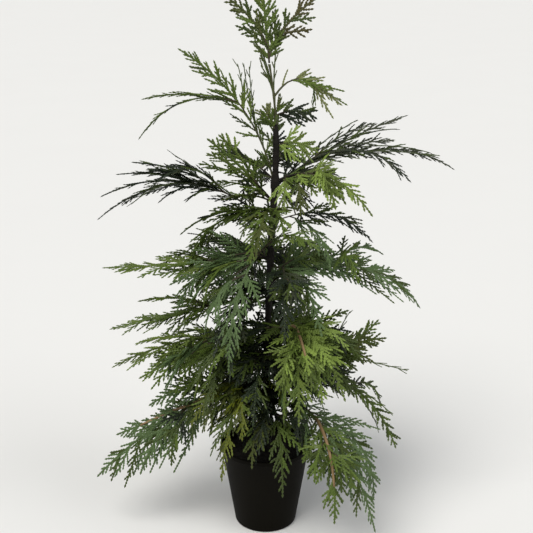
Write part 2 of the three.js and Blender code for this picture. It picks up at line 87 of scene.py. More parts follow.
# The trunk and the pot, as in the model
POT_HEIGHT = POT_HIGH.z / MM
POT_RIM_RADIUS = POT_HIGH.x / MM
POT_FOOT_RADIUS = 44.0
POT_WALL = 2.0
POT_FLOOR = 3.0
POT_LIP_DEPTH = 1.2
POT_LIP_HEIGHT = 7.0
POT_EDGE_ROUND = 4.0
FILL_LEVEL = FILL_HIGH.z / MM
TRUNK_TOP = TRUNK_HIGH.z / MM
TRUNK_FOOT_RADIUS = 4.4
TRUNK_TOP_RADIUS = 1.9
TRUNK_TAPER = 0.6
TRUNK_LEAN = 5.0
TRUNK_BOW = 10.0
TRUNK_NARROWS = (555.0, 610.0)

# The rule by which twigs leave a frond's stem, as in the model
TWIG_SPACING = 18.0
TWIG_PHASE = 0.6
FAN_SPACING = 0.16
TWIG_SHORTEST = 20.0
TWIG_ROOT_ANGLE = 50.0
TWIG_TIP_ANGLE = 30.0
TWIG_ANGLE_SPREAD = 14.0
TWIG_LENGTH_LEAST = 0.82
TWIG_LENGTH_SPREAD = 0.3
TWIG_TAPER_DROP = 0.58
TWIG_TAPER_POWER = 1.4
TWIG_SWEEP = 0.12
TWIG_SAG = 0.1
TWIG_LIFT = 0.16
END_TWIG_MOST = 0.45
END_TWIG_FAN_SHARE = 0.55
END_TWIG_EXTRA = 18.0
END_TWIG_COVERED = 0.8
HEADING_STEP = 0.01


class Frond(NamedTuple):
    """One flat spray: where its tip is and how its stem arches, fans out, hangs and forks."""
    tip: tuple
    arch: float
    fan: float
    roll: float
    tint: str
    hang: float = 0.0
    skew: float = 0.0
    fork: float = 0.0


class Branch(NamedTuple):
    """The fronds of one mass of foliage, and the foot and the bare share of the bough that holds them."""
    name: str
    foot: float
    bare: float
    fronds: tuple


BRANCHES = (
    Branch("leader", TRUNK_TOP, 0, (
        Frond((-4, 0, 762), 0, 42, 90, "leaf"),
        Frond((-50, -8, 747), 7, 42, 80, "moss", fork=0.2),
        Frond((66, 12, 745), 6, 50, 85, "russet", hang=0.2, fork=0.14),
    )),
    Branch("crest_right", 620, 0.2, (
        Frond((96, -25, 615), 26, 44, 88, "pale", hang=0.75, skew=-0.5),
        Frond((62, 14, 604), 20, 28, 60, "leaf", fork=0.25),
    )),
    Branch("high_left", 500, 0.44, (
        Frond((-109, -10, 682), 24, 40, 75, "leaf"),
        Frond((-160, 12, 616), 8, 40, 18, "leaf", fork=0.56),
        Frond((-162, -28, 572), 24, 36, 12, "olive", fork=0.56),
        Frond((-36, 16, 660), 6, 20, 10, "olive", fork=0.5),
    )),
    Branch("collar_right", 596, 0, (Frond((66, 6, 592), 8, 27, 75, "deep", hang=0.3),)),
    Branch("collar_left", 574, 0, (Frond((-8, -22, 596), 6, 20, 60, "leaf"),)),
    # Its fresh tint, darker than the bright one, is painted shade for the shadow at the upper right of the
    # crown.
    Branch("collar_front", 556, 0, (Frond((66, -38, 556), 8, 48, 75, "fresh", hang=0.2),)),
    Branch("collar_back", 540, 0, (Frond((18, 60, 588), 8, 36, 30, "olive"),)),
    Branch("upper_left", 478, 0.24, (Frond((-72, -50, 574), 4, 40, 78, "leaf"),)),
    Branch("shoulder_left", 446, 0.26, (
        Frond((-224, -5, 458), 54, 74, 24, "deep", hang=0.35),
        Frond((-200, 26, 512), 10, 54, 12, "deep", fork=0.3),
    )),
    Branch("breast_left", 432, 0, (Frond((-108, -70, 456), 32, 48, 35, "olive"),)),
    Branch("mid_left", 404, 0.28, (
        Frond((-213, -45, 402), -2, 64, -4, "leaf", hang=0.1),
        Frond((-140, 30, 392), 8, 42, 35, "leaf", fork=0.36),
    )),
    Branch("front_left", 424, 0, (
        Frond((-47, -130, 292), 46, 68, 8, "blue"),
        Frond((-80, -90, 364), 24, 54, 25, "leaf", fork=0.26),
    )),
    Branch("waist_left", 346, 0.26, (
        Frond((-220, 30, 286), 4, 64, -8, "leaf", hang=0.15),
        Frond((-170, -30, 350), 8, 44, 30, "fresh", fork=0.36),
    )),
    # Its first and last fronds take the fresh tint, lighter than their own, as painted light where the
    # fronds above shade them.
    Branch("low_left", 282, 0.24, (
        Frond((-208, -40, 258), 20, 64, 58, "fresh", hang=0.5),
        Frond((-138, -96, 226), 24, 56, 45, "blue", fork=0.32),
        Frond((-172, -36, 240), 2, 58, -45, "leaf", hang=0.5, fork=0.26),
        Frond((-178, -20, 284), 6, 34, 5, "fresh", fork=0.42),
    )),
    Branch("skirt_left", 222, 0.24, (
        Frond((-240, -25, 82), 22, 66, -55, "blue", hang=0.6),
        Frond((-212, -6, 138), 0, 40, -50, "blue", hang=0.6, fork=0.3),
        Frond((-130, -70, 124), 24, 56, -40, "olive", fork=0.34),
    )),
    Branch("front_skirt_left", 232, 0, (Frond((-58, -125, 131), 46, 62, 12, "golden"),)),
    Branch("front_skirt", 206, 0, (Frond((23, -120, 104), 48, 56, 0, "olive"),)),
    # Its first frond takes the fresh tint, lighter than its own, as painted light where the frond above
    # shades it.
    Branch("front_right", 300, 0.2, (
        Frond((104, -110, 241), 38, 70, 30, "fresh"),
        Frond((43, -145, 222), 36, 60, 0, "fresh", fork=0.26),
    )),
    Branch("skirt_right", 214, 0.26, (
        Frond((146, -140, 64), 44, 78, 12, "blue"),
        Frond((150, -80, 78), 30, 42, 40, "blue", hang=0.5, fork=0.3),
        Frond((91, -150, 82), 34, 58, 8, "leaf", fork=0.34),
    )),
    Branch("low_right", 240, 0.4, (
        Frond((191, 20, 104), 42, 20, 70, "leaf"),
        Frond((172, 60, 150), 18, 20, 50, "olive", fork=0.5),
    )),
    Branch("waist_right", 268, 0.26, (
        Frond((195, -30, 248), 6, 34, 20, "olive"),
        Frond((158, 20, 302), -8, 28, 75, "leaf", hang=0.4, fork=0.4),
    )),
    Branch("mid_right", 376, 0.36, (
        Frond((219, 35, 317), 38, 62, 24, "blue", hang=0.2, skew=0.4),
        Frond((122, -58, 385), 26, 42, 40, "leaf", fork=0.38),
    )),
    # Its fresh tints, darker than the bright one, are painted shade for the shadow at the upper right of the
    # crown.
    Branch("upper_right_front", 508, 0.22, (Frond((135, -75, 482), 30, 60, 35, "fresh", hang=0.25),)),
    Branch("upper_right_back", 452, 0, (Frond((149, 44, 412), 26, 46, 50, "deep"),)),
    Branch("shoulder_right", 502, 0.16, (
        Frond((187, 24, 592), 9, 44, 10, "dusk"),
        Frond((250, 6, 524), 20, 48, 14, "dusk", hang=-0.2, skew=0.4, fork=0.3),
    )),
    Branch("front_high", 466, 0, (Frond((-12, -120, 439), 26, 50, 0, "moss"),)),
    # Its second frond takes the darkest green tint as painted shade for the dark recess in front of the
    # trunk.
    Branch("front_mid", 388, 0, (
        Frond((72, -110, 332), 34, 62, 20, "blue"),
        Frond((24, -140, 334), 30, 58, 0, "deep", fork=0.2),
    )),
    # Its dark tint is painted shade for the dark hollow above the pot.
    Branch("front_low", 258, 0, (Frond((-16, -150, 225), 34, 62, 0, "deep"),)),
    Branch("back_high", 508, 0.2, (
        Frond((-66, 118, 520), 12, 58, 20, "olive"),
        Frond((58, 112, 512), 12, 50, 20, "leaf", fork=0.24),
    )),
    Branch("back_left", 396, 0.24, (Frond((-118, 150, 366), 22, 70, 25, "olive"),)),
    Branch("back_right", 372, 0.24, (Frond((112, 156, 346), 22, 70, 25, "blue"),)),
    Branch("back_mid", 330, 0, (Frond((-22, 186, 304), 28, 72, 15, "leaf"),)),
    Branch("back_low_right", 272, 0.24, (Frond((128, 150, 206), 22, 70, 25, "olive"),)),
    Branch("back_low_left", 256, 0.24, (Frond((-142, 142, 206), 26, 70, 25, "leaf"),)),
    Branch("back_skirt", 210, 0.22, (
        Frond((52, 186, 112), 44, 72, 15, "blue"),
        Frond((-62, 176, 104), 30, 68, 15, "olive", fork=0.26),
    )),
)


def linear(red, green, blue):
    """A colour picked in 0 to 255 steps, as Blender's linear values."""
    shares = (value / 255 for value in (red, green, blue))
    return tuple(v / 12.92 if v <= 0.04045 else ((v + 0.055) / 1.055) ** 2.4 for v in shares)


def colour_setting(name, description, default):
    return FloatVectorProperty(
        name=name, description=description, subtype="COLOR", size=3, min=0, max=1, default=default,
    )


def length_setting(name, description, default_mm):
    return FloatProperty(
        name=name, description=description, subtype="DISTANCE", unit="LENGTH", min=0,
        default=default_mm * MM,
    )


# Settings that a user would change
class CedarPotSettings(PropertyGroup):
    """The pot and its filling."""
    rim_radius: length_setting("Rim radius", "Radius over the pot's lip", POT_RIM_RADIUS)
    foot_radius: length_setting("Foot radius", "Radius of the pot at its underside", POT_FOOT_RADIUS)
    wall: length_setting("Wall", "Thickness of the pot's wall", POT_WALL)
    plastic: colour_setting("Plastic", "Colour of the moulded pot", linear(13, 11, 6))
    filling: colour_setting("Filling", "Colour of the lumpy filling", linear(24, 20, 17))


class CedarStemSettings(PropertyGroup):
    """The wound tape of the trunk and the boughs."""
    tape_pitch: length_setting("Tape pitch", "Height of one turn of the tape on the trunk", 8.5)
    tape_relief: length_setting("Tape relief", "How far a turn of tape stands over the last one", 0.55)
    tape: colour_setting("Tape", "Colour of the wound tape", linear(25, 21, 17))
    stem: colour_setting("Stem", "Colour of the thin stem near the top", linear(70, 72, 38))


class CedarFoliageSettings(PropertyGroup):
    """The scale leaves and twigs of the sprays."""
    scale_length: length_setting("Scale length", "Length of one pair of scale leaves", 3.1)
    scale_width: length_setting("Scale width", "Width over one pair of scale leaves", 4.5)
    branchlet: length_setting("Branchlet", "Longest branchlet on a twig", 13.0)
    fineness: IntProperty(
        name="Fineness", description="Twigs for each twig of the plain model", default=3, min=1, max=7,
    )
    bright: colour_setting("Bright", "Fresh yellow-green sprays", linear(114, 134, 58))
    leaf: colour_setting("Leaf", "Middle green sprays", linear(78, 96, 34))
    blue: colour_setting("Blue-green", "Cool green sprays", linear(78, 98, 58))
    olive: colour_setting("Olive", "Dull dark green sprays", linear(56, 70, 20))
    dusk: colour_setting("Dusk", "Grey-green sprays", linear(44, 50, 30))
    # Partly the own dark green of some sprays and partly painted shade: it darkens sprays that lie in shadow
    # or face away from the light, and filling sprays near the trunk.
    deep: colour_setting("Deep", "Darkest green sprays", linear(23, 34, 16))
    russet: colour_setting("Russet", "Brownish sprays", linear(66, 62, 24))
    # Painted shade: a near-black green for the sprays deep inside the crown, where the shade falls.
    shade: colour_setting("Shade", "Sprays deep inside the crown", linear(9, 14, 7))
    fresh: colour_setting("Fresh", "Sprays between middle and yellow-green", linear(88, 104, 42))
    pale: colour_setting("Pale", "Greyish light sprays", linear(108, 114, 68))
    moss: colour_setting("Moss", "Yellowish dark sprays", linear(62, 70, 22))
    golden: colour_setting("Golden", "Yellowest sprays", linear(82, 90, 12))
    twig: colour_setting("Twig", "Bare stems of the sprays", linear(60, 52, 30))
    tan: colour_setting("Tan", "The few bare stems that stand out", linear(138, 112, 76))


class CedarStageSettings(PropertyGroup):
    """The floor, the light and the background."""
    floor: colour_setting("Floor", "Colour of the floor", (0.78, 0.78, 0.77))
    sky_strength: FloatProperty(name="Sky strength", description="Light from all round", default=0.26, min=0)
    key_power: FloatProperty(name="Key power", description="Strength of the main light", default=2.9, min=0)
    lens: FloatProperty(name="Lens", description="Focal length", default=69.3, min=1, unit="CAMERA")


TINTS = (
    "bright", "leaf", "blue", "olive", "dusk", "deep", "russet", "shade", "fresh", "pale", "moss", "golden",
)
# The tints that the twigs of a spray take, its own most often
TINT_MIX = {
    "bright": ("bright", "bright", "bright", "leaf"),
    "leaf": ("leaf", "leaf", "leaf", "olive", "fresh"),
    "blue": ("blue", "blue", "blue", "blue", "olive"),
    "olive": ("olive", "olive", "leaf", "deep"),
    "dusk": ("dusk", "dusk", "dusk", "deep", "olive"),
    "deep": ("deep", "deep", "deep", "olive", "dusk"),
    "russet": ("russet", "russet", "olive"),
    "shade": ("shade", "shade", "deep"),
    "fresh": ("fresh", "fresh", "leaf", "bright"),
    "pale": ("pale", "pale", "leaf"),
    "moss": ("moss", "moss", "leaf", "olive"),
    "golden": ("golden", "golden", "moss", "fresh"),
}


# Chance and vectors
def chance(a, b, c=0):
    """A number from 0 to 1 that always comes out the same for the same keys.

    A bare number among the keys only tells one thing's draws apart.
    """
    wave = math.sin(a * 12.9898 + b * 78.233 + c * 37.719) * 43758.5453
    return wave - math.floor(wave)


def lerp(low, high, share):
    return low + (high - low) * share


def between(limits, *keys):
    """A number between two limits, by chance."""
    return lerp(*limits, chance(*keys))


def around(spread, *keys):
    """A number at most half the spread from zero, by chance."""
    return spread * (chance(*keys) - 0.5)


def dealt(things, *keys):
    """One of several things, by chance."""
    return things[int(chance(*keys) * len(things))]


def unit(vectors):
    return vectors / np.linalg.norm(vectors, axis=-1, keepdims=True)


def smoothstep(value, low, high):
    share = np.clip((value - low) / (high - low), 0, 1)
    return share * share * (3 - 2 * share)


# The trunk's middle line and thickness
def trunk_at(height):
    height = np.asarray(height, float)
    share = (height - FILL_LEVEL) / (TRUNK_TOP - FILL_LEVEL)
    bow = np.sin(np.pi * np.maximum(share, 0) ** 3)
    return np.stack([TRUNK_LEAN * share + TRUNK_BOW * bow, np.zeros_like(height), height], axis=-1)


def trunk_radius(height):
    taper = TRUNK_TAPER * (height - FILL_LEVEL) / (TRUNK_TOP - FILL_LEVEL)
    return lerp(TRUNK_FOOT_RADIUS - taper, TRUNK_TOP_RADIUS, smoothstep(height, *TRUNK_NARROWS))


def is_clear(points, spare):
    """Which of the points keep clear of the pot, the trunk and the surface the pot stands on."""
    height = points[:, 2]
    from_axis = np.hypot(points[:, 0], points[:, 1])
    in_pot = (height < POT_HEIGHT + spare) & (from_axis < POT_RIM_RADIUS + spare)
    beside = np.clip(height, FILL_LEVEL, TRUNK_TOP)
    from_trunk = np.linalg.norm(points - trunk_at(beside), axis=1)
    return ~in_pot & (from_trunk > trunk_radius(beside) + spare) & (height > spare)


class Line:
    """The middle line of a frond's stem, in the upright plane that holds its root and its tip."""

    def __init__(self, root, frond):
        self.root = root
        self.frond = frond
        self.chord = np.array(frond.tip, float) - root
        self.length = float(np.linalg.norm(self.chord))
        self.across = unit(np.array((-self.chord[1], self.chord[0], 0.0)))
        self.overhead = np.cross(self.chord / self.length, self.across)

    def at(self, share):
        share = np.asarray(share, float)[..., None]
        hump = 4 * share * (1 - share) * (1 + self.frond.skew * (2 * share - 1))
        return self.root + self.chord * share + self.overhead * (self.frond.arch * hump)

    def frames(self, share):
        """Places along the line, with the directions ahead, to the side in the fan, and off its face."""
        share = np.asarray(share, float)
        ahead = unit(self.at(share + HEADING_STEP) - self.at(share - HEADING_STEP))
        roll = math.radians(self.frond.roll)
        rise = np.cross(ahead, self.across)
        side = self.across * math.cos(roll) + rise * math.sin(roll)
        return self.at(share), ahead, side, np.cross(ahead, side)


def rolled(frame, turn):
    """A frame turned about its own heading."""
    point, ahead, side, off = frame
    side = side * math.cos(turn) + off * math.sin(turn)
    return point, ahead, side, np.cross(ahead, side)


class Shoot:
    """A twig that leaves its parent to one side, sweeps forward and sags a little."""

    def __init__(self, parent_frame, hand, angle, length, sweep, sag, lift):
        self.root, ahead, side, self.off = parent_frame
        self.length = length
        self.way = ahead * math.cos(angle) + side * (hand * math.sin(angle))
        self.bend = ahead * sweep + self.off * lift - UP * sag

    def at(self, share):
        share = np.asarray(share, float)[..., None]
        return self.root + (self.way * share + self.bend * share ** 2) * self.length

    def frames(self, share):
        share = np.asarray(share, float)
        along = unit(self.way + 2 * self.bend * share[..., None])
        wide = unit(np.cross(self.off, along))
        return self.at(share), along, wide, np.cross(along, wide)


def add_piece(name, mesh, materials):
    """Puts a mesh into the scene with its materials."""
    for material in materials:
        mesh.materials.append(material)
    piece = bpy.data.objects.new(name, mesh)
    bpy.context.scene.collection.objects.link(piece)
    return piece


# Meshes from arrays, in millimetres
class Pile:
    """Vertices and triangles of many like things that become one mesh, each with its finish."""

    def __init__(self):
        self.vertices = []
        self.triangles = []
        self.finishes = []
        self.count = 0

    def add(self, vertices, triangles, finish):
        self.add_triangles(triangles + self.count, finish)
        self.vertices.append(vertices)
        self.count += len(vertices)

    def add_triangles(self, triangles, finish):
        """More triangles between vertices that the pile already has."""
        self.triangles.append(triangles)
        self.finishes.append(np.full(len(triangles), finish, np.int32))

    def build(self, name, materials, smooth):
        vertices = np.concatenate(self.vertices).astype(np.float32) * MM
        triangles = np.concatenate(self.triangles).astype(np.int32)
        mesh = bpy.data.meshes.new(name)
        mesh.vertices.add(len(vertices))
        mesh.vertices.foreach_set("co", vertices.ravel())
        mesh.loops.add(triangles.size)
        mesh.loops.foreach_set("vertex_index", triangles.ravel())
        mesh.polygons.add(len(triangles))
        mesh.polygons.foreach_set("loop_start", np.arange(0, triangles.size, 3, dtype=np.int32))
        mesh.polygons.foreach_set("material_index", np.concatenate(self.finishes))
        mesh.update(calc_edges=True)
        mesh.polygons.foreach_set("use_smooth", np.full(len(triangles), smooth))
        return add_piece(name, mesh, materials)


# A scale leaf's corners as shares of its length ahead, its width to the side and its depth off the
# face, and its triangles: a flat arrowhead with a keel, broadest near its tip.
SCALE_CORNERS = np.array((
    (-1.0, 0, 0), (0.5, 1, 0), (1.5, 0, 0), (0.5, -1, 0), (0.4, 0, 1), (0.4, 0, -1),
))
SCALE_TRIANGLES = np.array((
    (0, 3, 4), (3, 2, 4), (2, 1, 4), (1, 0, 4), (3, 0, 5), (2, 3, 5), (1, 2, 5), (0, 1, 5),
))
SCALE_DEPTH = 0.6


def add_scales(pile, frames, lengths, half_widths, finish):
    """Adds one scale leaf at each frame."""
    points, ahead, side, off = frames
    steps = SCALE_CORNERS[None] * np.stack([lengths, half_widths, half_widths * SCALE_DEPTH], 1)[:, None]
    corners = (
        points[:, None]
        + ahead[:, None] * steps[..., 0:1]
        + side[:, None] * steps[..., 1:2]
        + off[:, None] * steps[..., 2:3]
    )
    first = np.arange(len(points))[:, None, None] * len(SCALE_CORNERS)
    pile.add(corners.reshape(-1, 3), (SCALE_TRIANGLES[None] + first).reshape(-1, 3), finish)


def tube_mesh(frames, radii, sides):
    """A tube through the frames, whose radius may change round it, with a point at its far end."""
    points, _, side, off = frames
    turns = np.arange(sides) * (2 * math.pi / sides)
    radii = np.asarray(radii)
    if radii.ndim == 1:
        radii = np.repeat(radii[:, None], sides, axis=1)
    spokes = side[:, None] * np.cos(turns)[None, :, None] + off[:, None] * np.sin(turns)[None, :, None]
    rings = points[:, None] + spokes * radii[..., None]
    count = len(points)
    here = np.arange(sides)
    after = (here + 1) % sides
    rows = np.arange(count - 1)[:, None] * sides
    low_left, low_right = rows + here, rows + after
    high_left, high_right = low_left + sides, low_right + sides
    walls = np.concatenate([
        np.stack([low_left, low_right, high_right], -1).reshape(-1, 3),
        np.stack([low_left, high_right, high_left], -1).reshape(-1, 3),
    ])
    root_cap, tip_cap = count * sides, count * sides + 1
    last = (count - 1) * sides
    caps = np.concatenate([
        np.stack([np.full(sides, root_cap), after, here], -1),
        np.stack([np.full(sides, tip_cap), last + here, last + after], -1),
    ])
    vertices = np.concatenate([rings.reshape(-1, 3), points[:1], points[-1:]])
    return vertices, np.concatenate([walls, caps])


# How the scale leaves, twigs and stems of the sprays are made
class Cover(NamedTuple):
    """How scale leaves cover a path: their size, and how much narrower they get towards its end."""
    size: float
    taper: float


class Habit(NamedTuple):
    """Shares of the usual angle and length."""
    angle: float
    length: float


TWIG_BROWN, TWIG_GREEN, TWIG_TAN = 0, 1, 2
LEAF_SPARE = 1.0
FEWEST_LEAVES = 2
FEWEST_TWIGS = 2
TWIG_COVER = Cover(1.0, 0.3)
BRANCHLET_COVER = Cover(0.86, 0.2)
SHORT_TWIG_COVER = Cover(0.9, 0.25)
STEM_COVER = Cover(1.15, 0.35)
STRAND_COVER = Cover(0.68, 0.35)
STRAND_TWIG_COVER = Cover(0.6, 0.3)

# A frond's stem, bare at its root. Its scale leaves start a little before the bare stretch ends.
STEM_RADII = (1.3, 0.7)
STEM_SIDES = 6
STEM_STEP = 6.0
STEM_FEWEST_RINGS = 3
STEM_END = 0.99
BARE_STEM = 0.3
LEAF_OVERLAP = 0.1

# Side twigs. The finer ones are shorter, and are turned about the stem.
TWIG_RADII = (0.7, 0.4)
TWIG_SIDES = 3
TWIG_RINGS = 5
FINE_TWIG_LENGTHS = (0.6, 1.0)
FINE_TWIG_ROLL = 0.8
TWIG_SEED_STEP = 7
TIP_SEED_STEP = 3
TIP_BRANCHLETS = 0.85

# Branchlets on the twigs. A bend is how far a shoot sweeps forward and sags.
BRANCHLET_SPACING = 4.2
BRANCHLET_NECK = 5.0
BRANCHLET_NECK_MOST = 0.3
BRANCHLET_TWIG_SHARE = 0.33
BRANCHLET_LENGTHS = (0.75, 1.25)
BRANCHLET_TAPER_POWER = 0.6
BRANCHLET_LEAST_LEAVES = 1.5
BRANCHLET_ANGLES = (46.0, 34.0)
BRANCHLET_ANGLE_SPREAD = 16.0
BRANCHLET_BEND = (0.28, 0.03)
BRANCHLET_LIFT = 0.3

# Short twigs between the side twigs, and sprigs round the bare boughs
SHORT_TWIG = (9.0, 17.0)
SHORT_TWIG_ANGLE = 40.0
SHORT_TWIG_ANGLE_SPREAD = 20.0
SHORT_TWIG_BEND = (0.25, 0.03)
SHORT_TWIG_LIFT = 0.5
SPRIG = (18.0, 38.0)
SPRIG_SPACING = 9.0
SPRIG_START = 0.2
SPRIG_ANGLES = (35.0, 60.0)
SPRIG_BEND = (0.25, 0.1)

# Thin strands, with few and short twigs
STRAND_RADII = (1.1, 0.6)
STRAND_SIDES = 5
STRAND_FEWEST_RINGS = 4
STRAND_BARE = 0.1
STRAND_TWIG = (5.0, 12.0)
STRAND_TWIG_SPACING = 9.0
STRAND_TWIG_FIRST = 0.2
STRAND_TWIG_JITTER = 0.6
STRAND_TWIG_ANGLES = (18.0, 32.0)
STRAND_TWIG_BEND = (0.2, 0.02)

# The share of its stem over which a frond has a stout tan stem, which stands proud of its face
TAN_STEMS = {
    ("front_right", "extra 0"): 0.8, ("skirt_right", "main 2"): 0.7, ("skirt_left", "main 1"): 0.75,
}
TAN_LIFT = 6.5
TAN_STOUTNESS = 1.9
TAN_FACING = np.array((0.0, -1.0, 0.4))

# Masses whose twigs are long and thin and run close to their stem
SLENDER = ("crest_right", "high_left", "shoulder_left", "shoulder_right", "upper_right_back")
SLENDER_WIDTH = 0.82
SLENDER_STEM = 0.75
SLENDER_TWIG = Habit(0.85, 0.9)
SLENDER_FINE_TWIG = Habit(0.6, 1.1)
SLENDER_BRANCHLET = Habit(0.7, 0.8)
# Fronds that are strands, though they fan out in the model
STRANDS = (("high_left", "main 3"), ("waist_right", "main 0"))
# Masses with only the model's own twigs
AIRY = ("upper_left",)
# The share of their length that a frond's twigs have
SHORTENED = {
    ("low_right", "main 0"): 0.6, ("low_right", "main 1"): 0.6, ("upper_right_front", "main 0"): 0.82,
}
# The share of a frond's stem that has no twigs at its root
BARE_ROOTS = {
    ("leader", "main 1"): 0.26, ("leader", "main 2"): 0.24, ("upper_right_back", "main 0"): 0.3,
    ("front_skirt", "main 0"): 0.4, ("front_skirt", "extra 0"): 0.3, ("front_left", "main 0"): 0.42,
    ("front_left", "main 1"): 0.35, ("front_left", "extra 0"): 0.3, ("front_left", "side 1"): 0.4,
}


def end_twig_share(frond, line):
    return min(END_TWIG_MOST, (END_TWIG_FAN_SHARE * frond.fan + END_TWIG_EXTRA) / line.length)


def mixed_finishes(tint):
    """The numbers of the finishes that are dealt out to a spray's twigs."""
    return [TINTS.index(name) for name in TINT_MIX[tint]]


class Spray:
    """Grows the scale leaves and twigs of one mass of foliage."""

    def __init__(self, settings, slender):
        self.leaves = Pile()
        self.twigs = Pile()
        self.scale_length = settings.scale_length / MM
        self.scale_half = settings.scale_width / MM / 2
        self.longest_branchlet = settings.branchlet / MM
        self.fineness = settings.fineness
        self.slender = slender

    def clothe(self, path, start, end, cover, finish, skip_start=False):
        """Covers a path with scale leaves as far as it keeps clear, and gives the share it reaches."""
        pitch = self.scale_length * cover.size
        count = max(FEWEST_LEAVES, int(path.length * (end - start) / pitch))
        shares = start + (end - start) * (np.arange(count) + 0.5) / count
        frames = path.frames(shares)
        clear = is_clear(frames[0], LEAF_SPARE)
        first = int(np.argmax(clear)) if skip_start and clear.any() else 0
        blocked = np.flatnonzero(~clear[first:])
        stop = first + (int(blocked[0]) if len(blocked) else count - first)
        if stop - first < FEWEST_LEAVES:
            return start
        keep = slice(first, stop)
        narrowing = 1 - cover.taper * (shares[keep] - start) / (end - start)
        widths = self.scale_half * cover.size * narrowing
        if self.slender:
            widths = widths * SLENDER_WIDTH
        lengths = np.full(stop - first, path.length * (end - start) / count)
        add_scales(self.leaves, [part[keep] for part in frames], lengths, widths, finish)
        return shares[stop - 1]

    def grow_branchlets(self, path, start, reach, longest, finish, seed):
        """Puts alternate branchlets on a path, from start to as far as it reaches."""
        count = int((reach - start) * path.length / BRANCHLET_SPACING)
        for k in range(count):
            q = (k + 0.5) / count
            share = start + (reach - start) * q
            hand = 1 if (k + int(seed)) % 2 == 0 else -1
            length = longest * (1 - q) ** BRANCHLET_TAPER_POWER * between(BRANCHLET_LENGTHS, seed, k, 1)
            if length < self.scale_length * BRANCHLET_LEAST_LEAVES:
                continue
            angle = math.radians(lerp(*BRANCHLET_ANGLES, q) + around(BRANCHLET_ANGLE_SPREAD, seed, k, 2))
            if self.slender:
                angle *= SLENDER_BRANCHLET.angle
                length *= SLENDER_BRANCHLET.length
            lift = around(BRANCHLET_LIFT, seed, k, 3)
            shoot = Shoot(path.frames(share), hand, angle, length, *BRANCHLET_BEND, lift)
            self.clothe(shoot, 0.0, 1.0, BRANCHLET_COVER, finish)

    def grow_twig(self, shoot, finish, seed):
        """A side twig with its own branchlets."""
        reach = self.clothe(shoot, 0.0, 1.0, TWIG_COVER, finish)
        if reach <= 0:
            return
        frames = shoot.frames(np.linspace(0, reach, TWIG_RINGS))
        mesh = tube_mesh(frames, np.linspace(*TWIG_RADII, TWIG_RINGS), TWIG_SIDES)
        self.twigs.add(*mesh, TWIG_GREEN)
        neck = min(BRANCHLET_NECK / shoot.length, BRANCHLET_NECK_MOST)
        longest = min(self.longest_branchlet, BRANCHLET_TWIG_SHARE * shoot.length)
        self.grow_branchlets(shoot, neck, reach, longest, finish, seed)

    def grow_strand(self, line, start, finish, seed):
        """A long thin strand: its stem, small scale leaves and a few short twigs."""
        rings = max(STRAND_FEWEST_RINGS, int(line.length * (1 - start) / STEM_STEP))
        shares = np.linspace(start, STEM_END, rings)
        radii = lerp(*STRAND_RADII, (shares - start) / (1 - start))
        self.twigs.add(*tube_mesh(line.frames(shares), radii, STRAND_SIDES), TWIG_GREEN)
        leafy = start + STRAND_BARE * (1 - start)
        self.clothe(line, leafy, 1.0, STRAND_COVER, finish, skip_start=True)
        count = int(line.length * (1 - start) / STRAND_TWIG_SPACING)
        for k in range(count):
            place = k + STRAND_TWIG_FIRST + STRAND_TWIG_JITTER * chance(seed, k, 51)
            parent = line.frames(lerp(start, 1, place / count))
            hand = 1 if k % 2 else -1
            length = between(STRAND_TWIG, seed, k, 52)
            angle = math.radians(between(STRAND_TWIG_ANGLES, seed, k, 53))
            shoot = Shoot(parent, hand, angle, length, *STRAND_TWIG_BEND, 0)
            self.clothe(shoot, 0.0, 1.0, STRAND_TWIG_COVER, finish)

    def grow_frond(self, frond, line, start, index, seed, key):
        """A frond: its stem, the twigs that the model has, finer ones between them, and short ones."""
        finish = TINTS.index(frond.tint)
        if frond.fan == 0 or key in STRANDS:
            self.grow_strand(line, start, finish, seed)
            return
        mix = mixed_finishes(frond.tint)
        end_share = end_twig_share(frond, line)
        leafy = 1 - start - end_share * END_TWIG_COVERED
        spacing = TWIG_SPACING + frond.fan * FAN_SPACING
        count = max(FEWEST_TWIGS, round(leafy * line.length / spacing))
        fine = 1 if key[0] in AIRY else self.fineness
        middle = fine // 2
        reach_share = SHORTENED.get(key, 1.0)
        for j in range(count * fine):
            i, part = divmod(j, fine)
            q = (j - middle + TWIG_PHASE * fine) / (count * fine)
            if q < BARE_ROOTS.get(key, 0.0):
                continue
            hand = 1 if (j - middle + index) % 2 == 0 else -1
            twig_finish = dealt(mix, seed, j, 8)
            place = (start + leafy * q, q, hand, reach_share)
            own = part == middle
            self.grow_side_twig(line, frond, place, seed + i * TWIG_SEED_STEP, own, part, twig_finish)
            halfway = start + leafy * (q + 0.5 / (count * fine))
            self.grow_short_twig(line, halfway, hand, seed + j, twig_finish)
        self.grow_stem(line, start, finish, TAN_STEMS.get(key, 0.0))
        tip = 1 - end_share * TIP_BRANCHLETS
        self.grow_branchlets(line, tip, 1.0, self.longest_branchlet, finish, seed + TIP_SEED_STEP)

